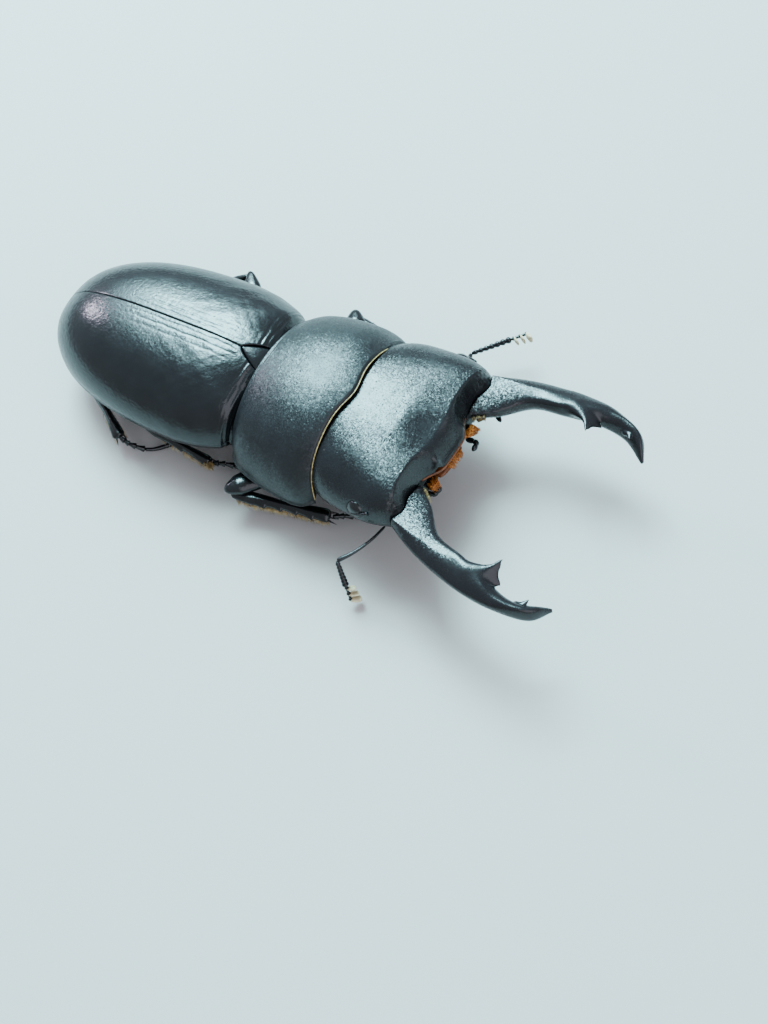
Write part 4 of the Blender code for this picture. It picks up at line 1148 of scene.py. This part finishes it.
def make_shin_hairs(name, ends, ways, random):
    """Two rows of golden hairs under the shin's outer edge, denser on the fore legs."""
    (top, ankle), (across, over, down) = ends, ways
    kind = name.split("_")[0]
    side, lift = across * TIBIA_HALF[kind][0], over * TIBIA_HALF[kind][1]
    length = np.linalg.norm(ankle - top)
    hairs = []
    for _ in range(SHIN_HAIRS[kind]):
        t = random.uniform(0.06, 0.99) if kind == "fore" else 1 - random.beta(1.0, 3.0) * 0.9
        row = random.choice((1.0, 1.0, -0.8))
        root = top + down * length * t + side * 0.72 * row - lift * random.uniform(0.2, 0.8)
        way = (across * row * random.uniform(0.5, 1.0) - over * random.uniform(0.5, 1.1)
               + down * random.uniform(0.3, 0.9))
        size = random.uniform(0.5, 0.95)
        hairs.append((hair(root, way, size, SHIN_HAIR, down * 0.12 * size),
                      (t, 0.5 + 0.3 * row + random.uniform(-0.1, 0.1))))
    for _ in range(ANKLE_HAIRS if kind == "mid" else 0):
        root = (ankle - down * random.uniform(-0.35, 0.75) + side * random.uniform(-0.2, 0.8)
                + lift * random.uniform(-0.5, 0.5))
        way = (across * random.uniform(0.2, 0.9) + down * random.uniform(0.2, 0.9)
               + over * random.uniform(-0.3, 0.6))
        size = random.uniform(0.5, 0.95)
        hairs.append((hair(root, way, size, SHIN_HAIR, down * 0.1 * size),
                      (random.uniform(0.9, 1.0), random.uniform(0.1, 0.9))))
    add_hairs("shin_hairs_" + name, hairs, "golden")


def make_mouth_hairs(random):
    """The amber tufts beside the clypeus, the brush below its middle, and the skin above them."""
    hairs = []
    for start, (low, high), tip, (shortest, longest), count in MOUTH_TUFTS:
        for _ in range(count):
            root = np.array([start + random.uniform(-0.2, 0.1), random.uniform(low, high),
                             random.uniform(6.6, 7.5)])
            way = np.array(tip) + random.normal(0, 0.10, 3) - root
            size = np.linalg.norm(way) * random.uniform(shortest, longest)
            hairs.append((hair(root, way, size, MOUTH_HAIR, -0.10 * size * UP),
                          (0.5 + root[1] / 12, random.uniform(0.1, 0.9))))
    add_hairs("mouth_brush", hairs, "amber", "head")
    y = np.linspace(-4.6, 4.6, 120)
    seam = stacked(head_front(y) - 0.05, y, 8.45)
    angle = circle(12)
    ring = seam[:, None] + 0.09 * stacked(np.cos(angle), 0.0, 2.2 * np.sin(angle))[None]
    add_piece("clypeus_seam", loft_shape(ring), "amber_skin", "head")


def make_jaw_hairs(random):
    """Short golden hairs along the inner edge of each mandible's base."""
    for side, name in SIDES:
        hairs = []
        for _ in range(JAW_HAIRS):
            t = random.uniform(0.0, 0.09)
            inner = spline(MANDIBLE_INNER, np.array([t]))[0]
            root = np.array([inner[0] + 0.15, side * (inner[1] + 0.20), random.uniform(7.4, 8.3)])
            way = np.array([random.uniform(0.3, 0.8), -side * random.uniform(0.5, 1.0),
                            random.uniform(0.0, 0.5)])
            hairs.append((hair(root, way, random.uniform(0.30, 0.5), JAW_HAIR, -0.05 * UP),
                          (t * 8, random.uniform(0.1, 0.9))))
        add_hairs("jaw_hairs_" + name, hairs, "golden", "mandible_" + name)


# ---- stage
def model_point(point):
    return Vector([(value - centre) * MM for value, centre in zip(point, BOX_CENTRE)])


def make_camera():
    """The fitted camera: round the beetle, up, then rolled about its line of sight."""
    az, el, roll = (math.radians(angle) for angle in (AZIMUTH, ELEVATION, ROLL))
    back = Vector((math.sin(az) * math.cos(el), -math.cos(az) * math.cos(el), math.sin(el)))
    right = Vector(UP).cross(back).normalized()
    up = back.cross(right)
    side = math.cos(roll) * right + math.sin(roll) * up
    top = -math.sin(roll) * right + math.cos(roll) * up
    place = Vector(CAMERA_AIM) + CAMERA_BACK * back
    place = place - CAMERA_OFFSET[0] * side - CAMERA_OFFSET[1] * top
    data = bpy.data.cameras.new("camera")
    camera = new_object("camera", data)
    data.sensor_fit = "VERTICAL"
    data.sensor_height = SENSOR
    data.lens = FOCAL_PIXELS / FRAME_PIXELS * SENSOR
    data.clip_start = 0.001
    data.clip_end = 10.0
    camera.location = model_point(place)
    camera.rotation_euler = Matrix((side, top, back)).transposed().to_euler()
    bpy.context.scene.camera = camera


def make_stage():
    bpy.ops.mesh.primitive_plane_add(size=FLOOR_SIZE, location=(0, 0, 0))
    floor = bpy.context.object
    floor.name = "floor"
    paper = Look("floor_paper", FLOOR_COLOUR, 0.85)
    paper.shader["Specular IOR Level"].default_value = 0.2
    floor.data.materials.append(paper.material)
    floor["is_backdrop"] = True

    world = bpy.data.worlds.new("studio")
    bpy.context.scene.world = world
    world.use_nodes = True
    background = world.node_tree.nodes["Background"].inputs
    background["Color"].default_value = WORLD_COLOUR
    background["Strength"].default_value = WORLD_STRENGTH

    target = model_point(LIGHT_AIM)
    for name, (direction, distance, size, power, colour) in LIGHTS.items():
        data = bpy.data.lights.new(name, "AREA")
        data.shape = "RECTANGLE"
        data.size, data.size_y = size
        data.energy = power
        data.color = colour
        light = new_object(name, data)
        way = Vector(direction).normalized()
        light.location = target + way * distance
        light.rotation_euler = (target - light.location).to_track_quat("-Z", "Y").to_euler()
    view = bpy.context.scene.view_settings
    view.view_transform = "AgX"
    view.look = "AgX - Medium High Contrast"


def main():
    random = np.random.default_rng(11)
    make_camera()
    make_stage()
    make_head()
    make_prothorax()
    make_elytra()
    make_scutellum()
    make_trunk()
    make_waist()
    make_mandibles()
    make_mouth()
    make_antennae()
    for name in LEGS:
        make_leg(name, random)
    make_mouth_hairs(random)
    make_jaw_hairs(random)
    boxes = {"cad": CAD_BOX, "visual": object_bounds()}
    boxes = {name: [list(map(float, corner)) for corner in box] for name, box in boxes.items()}


main()
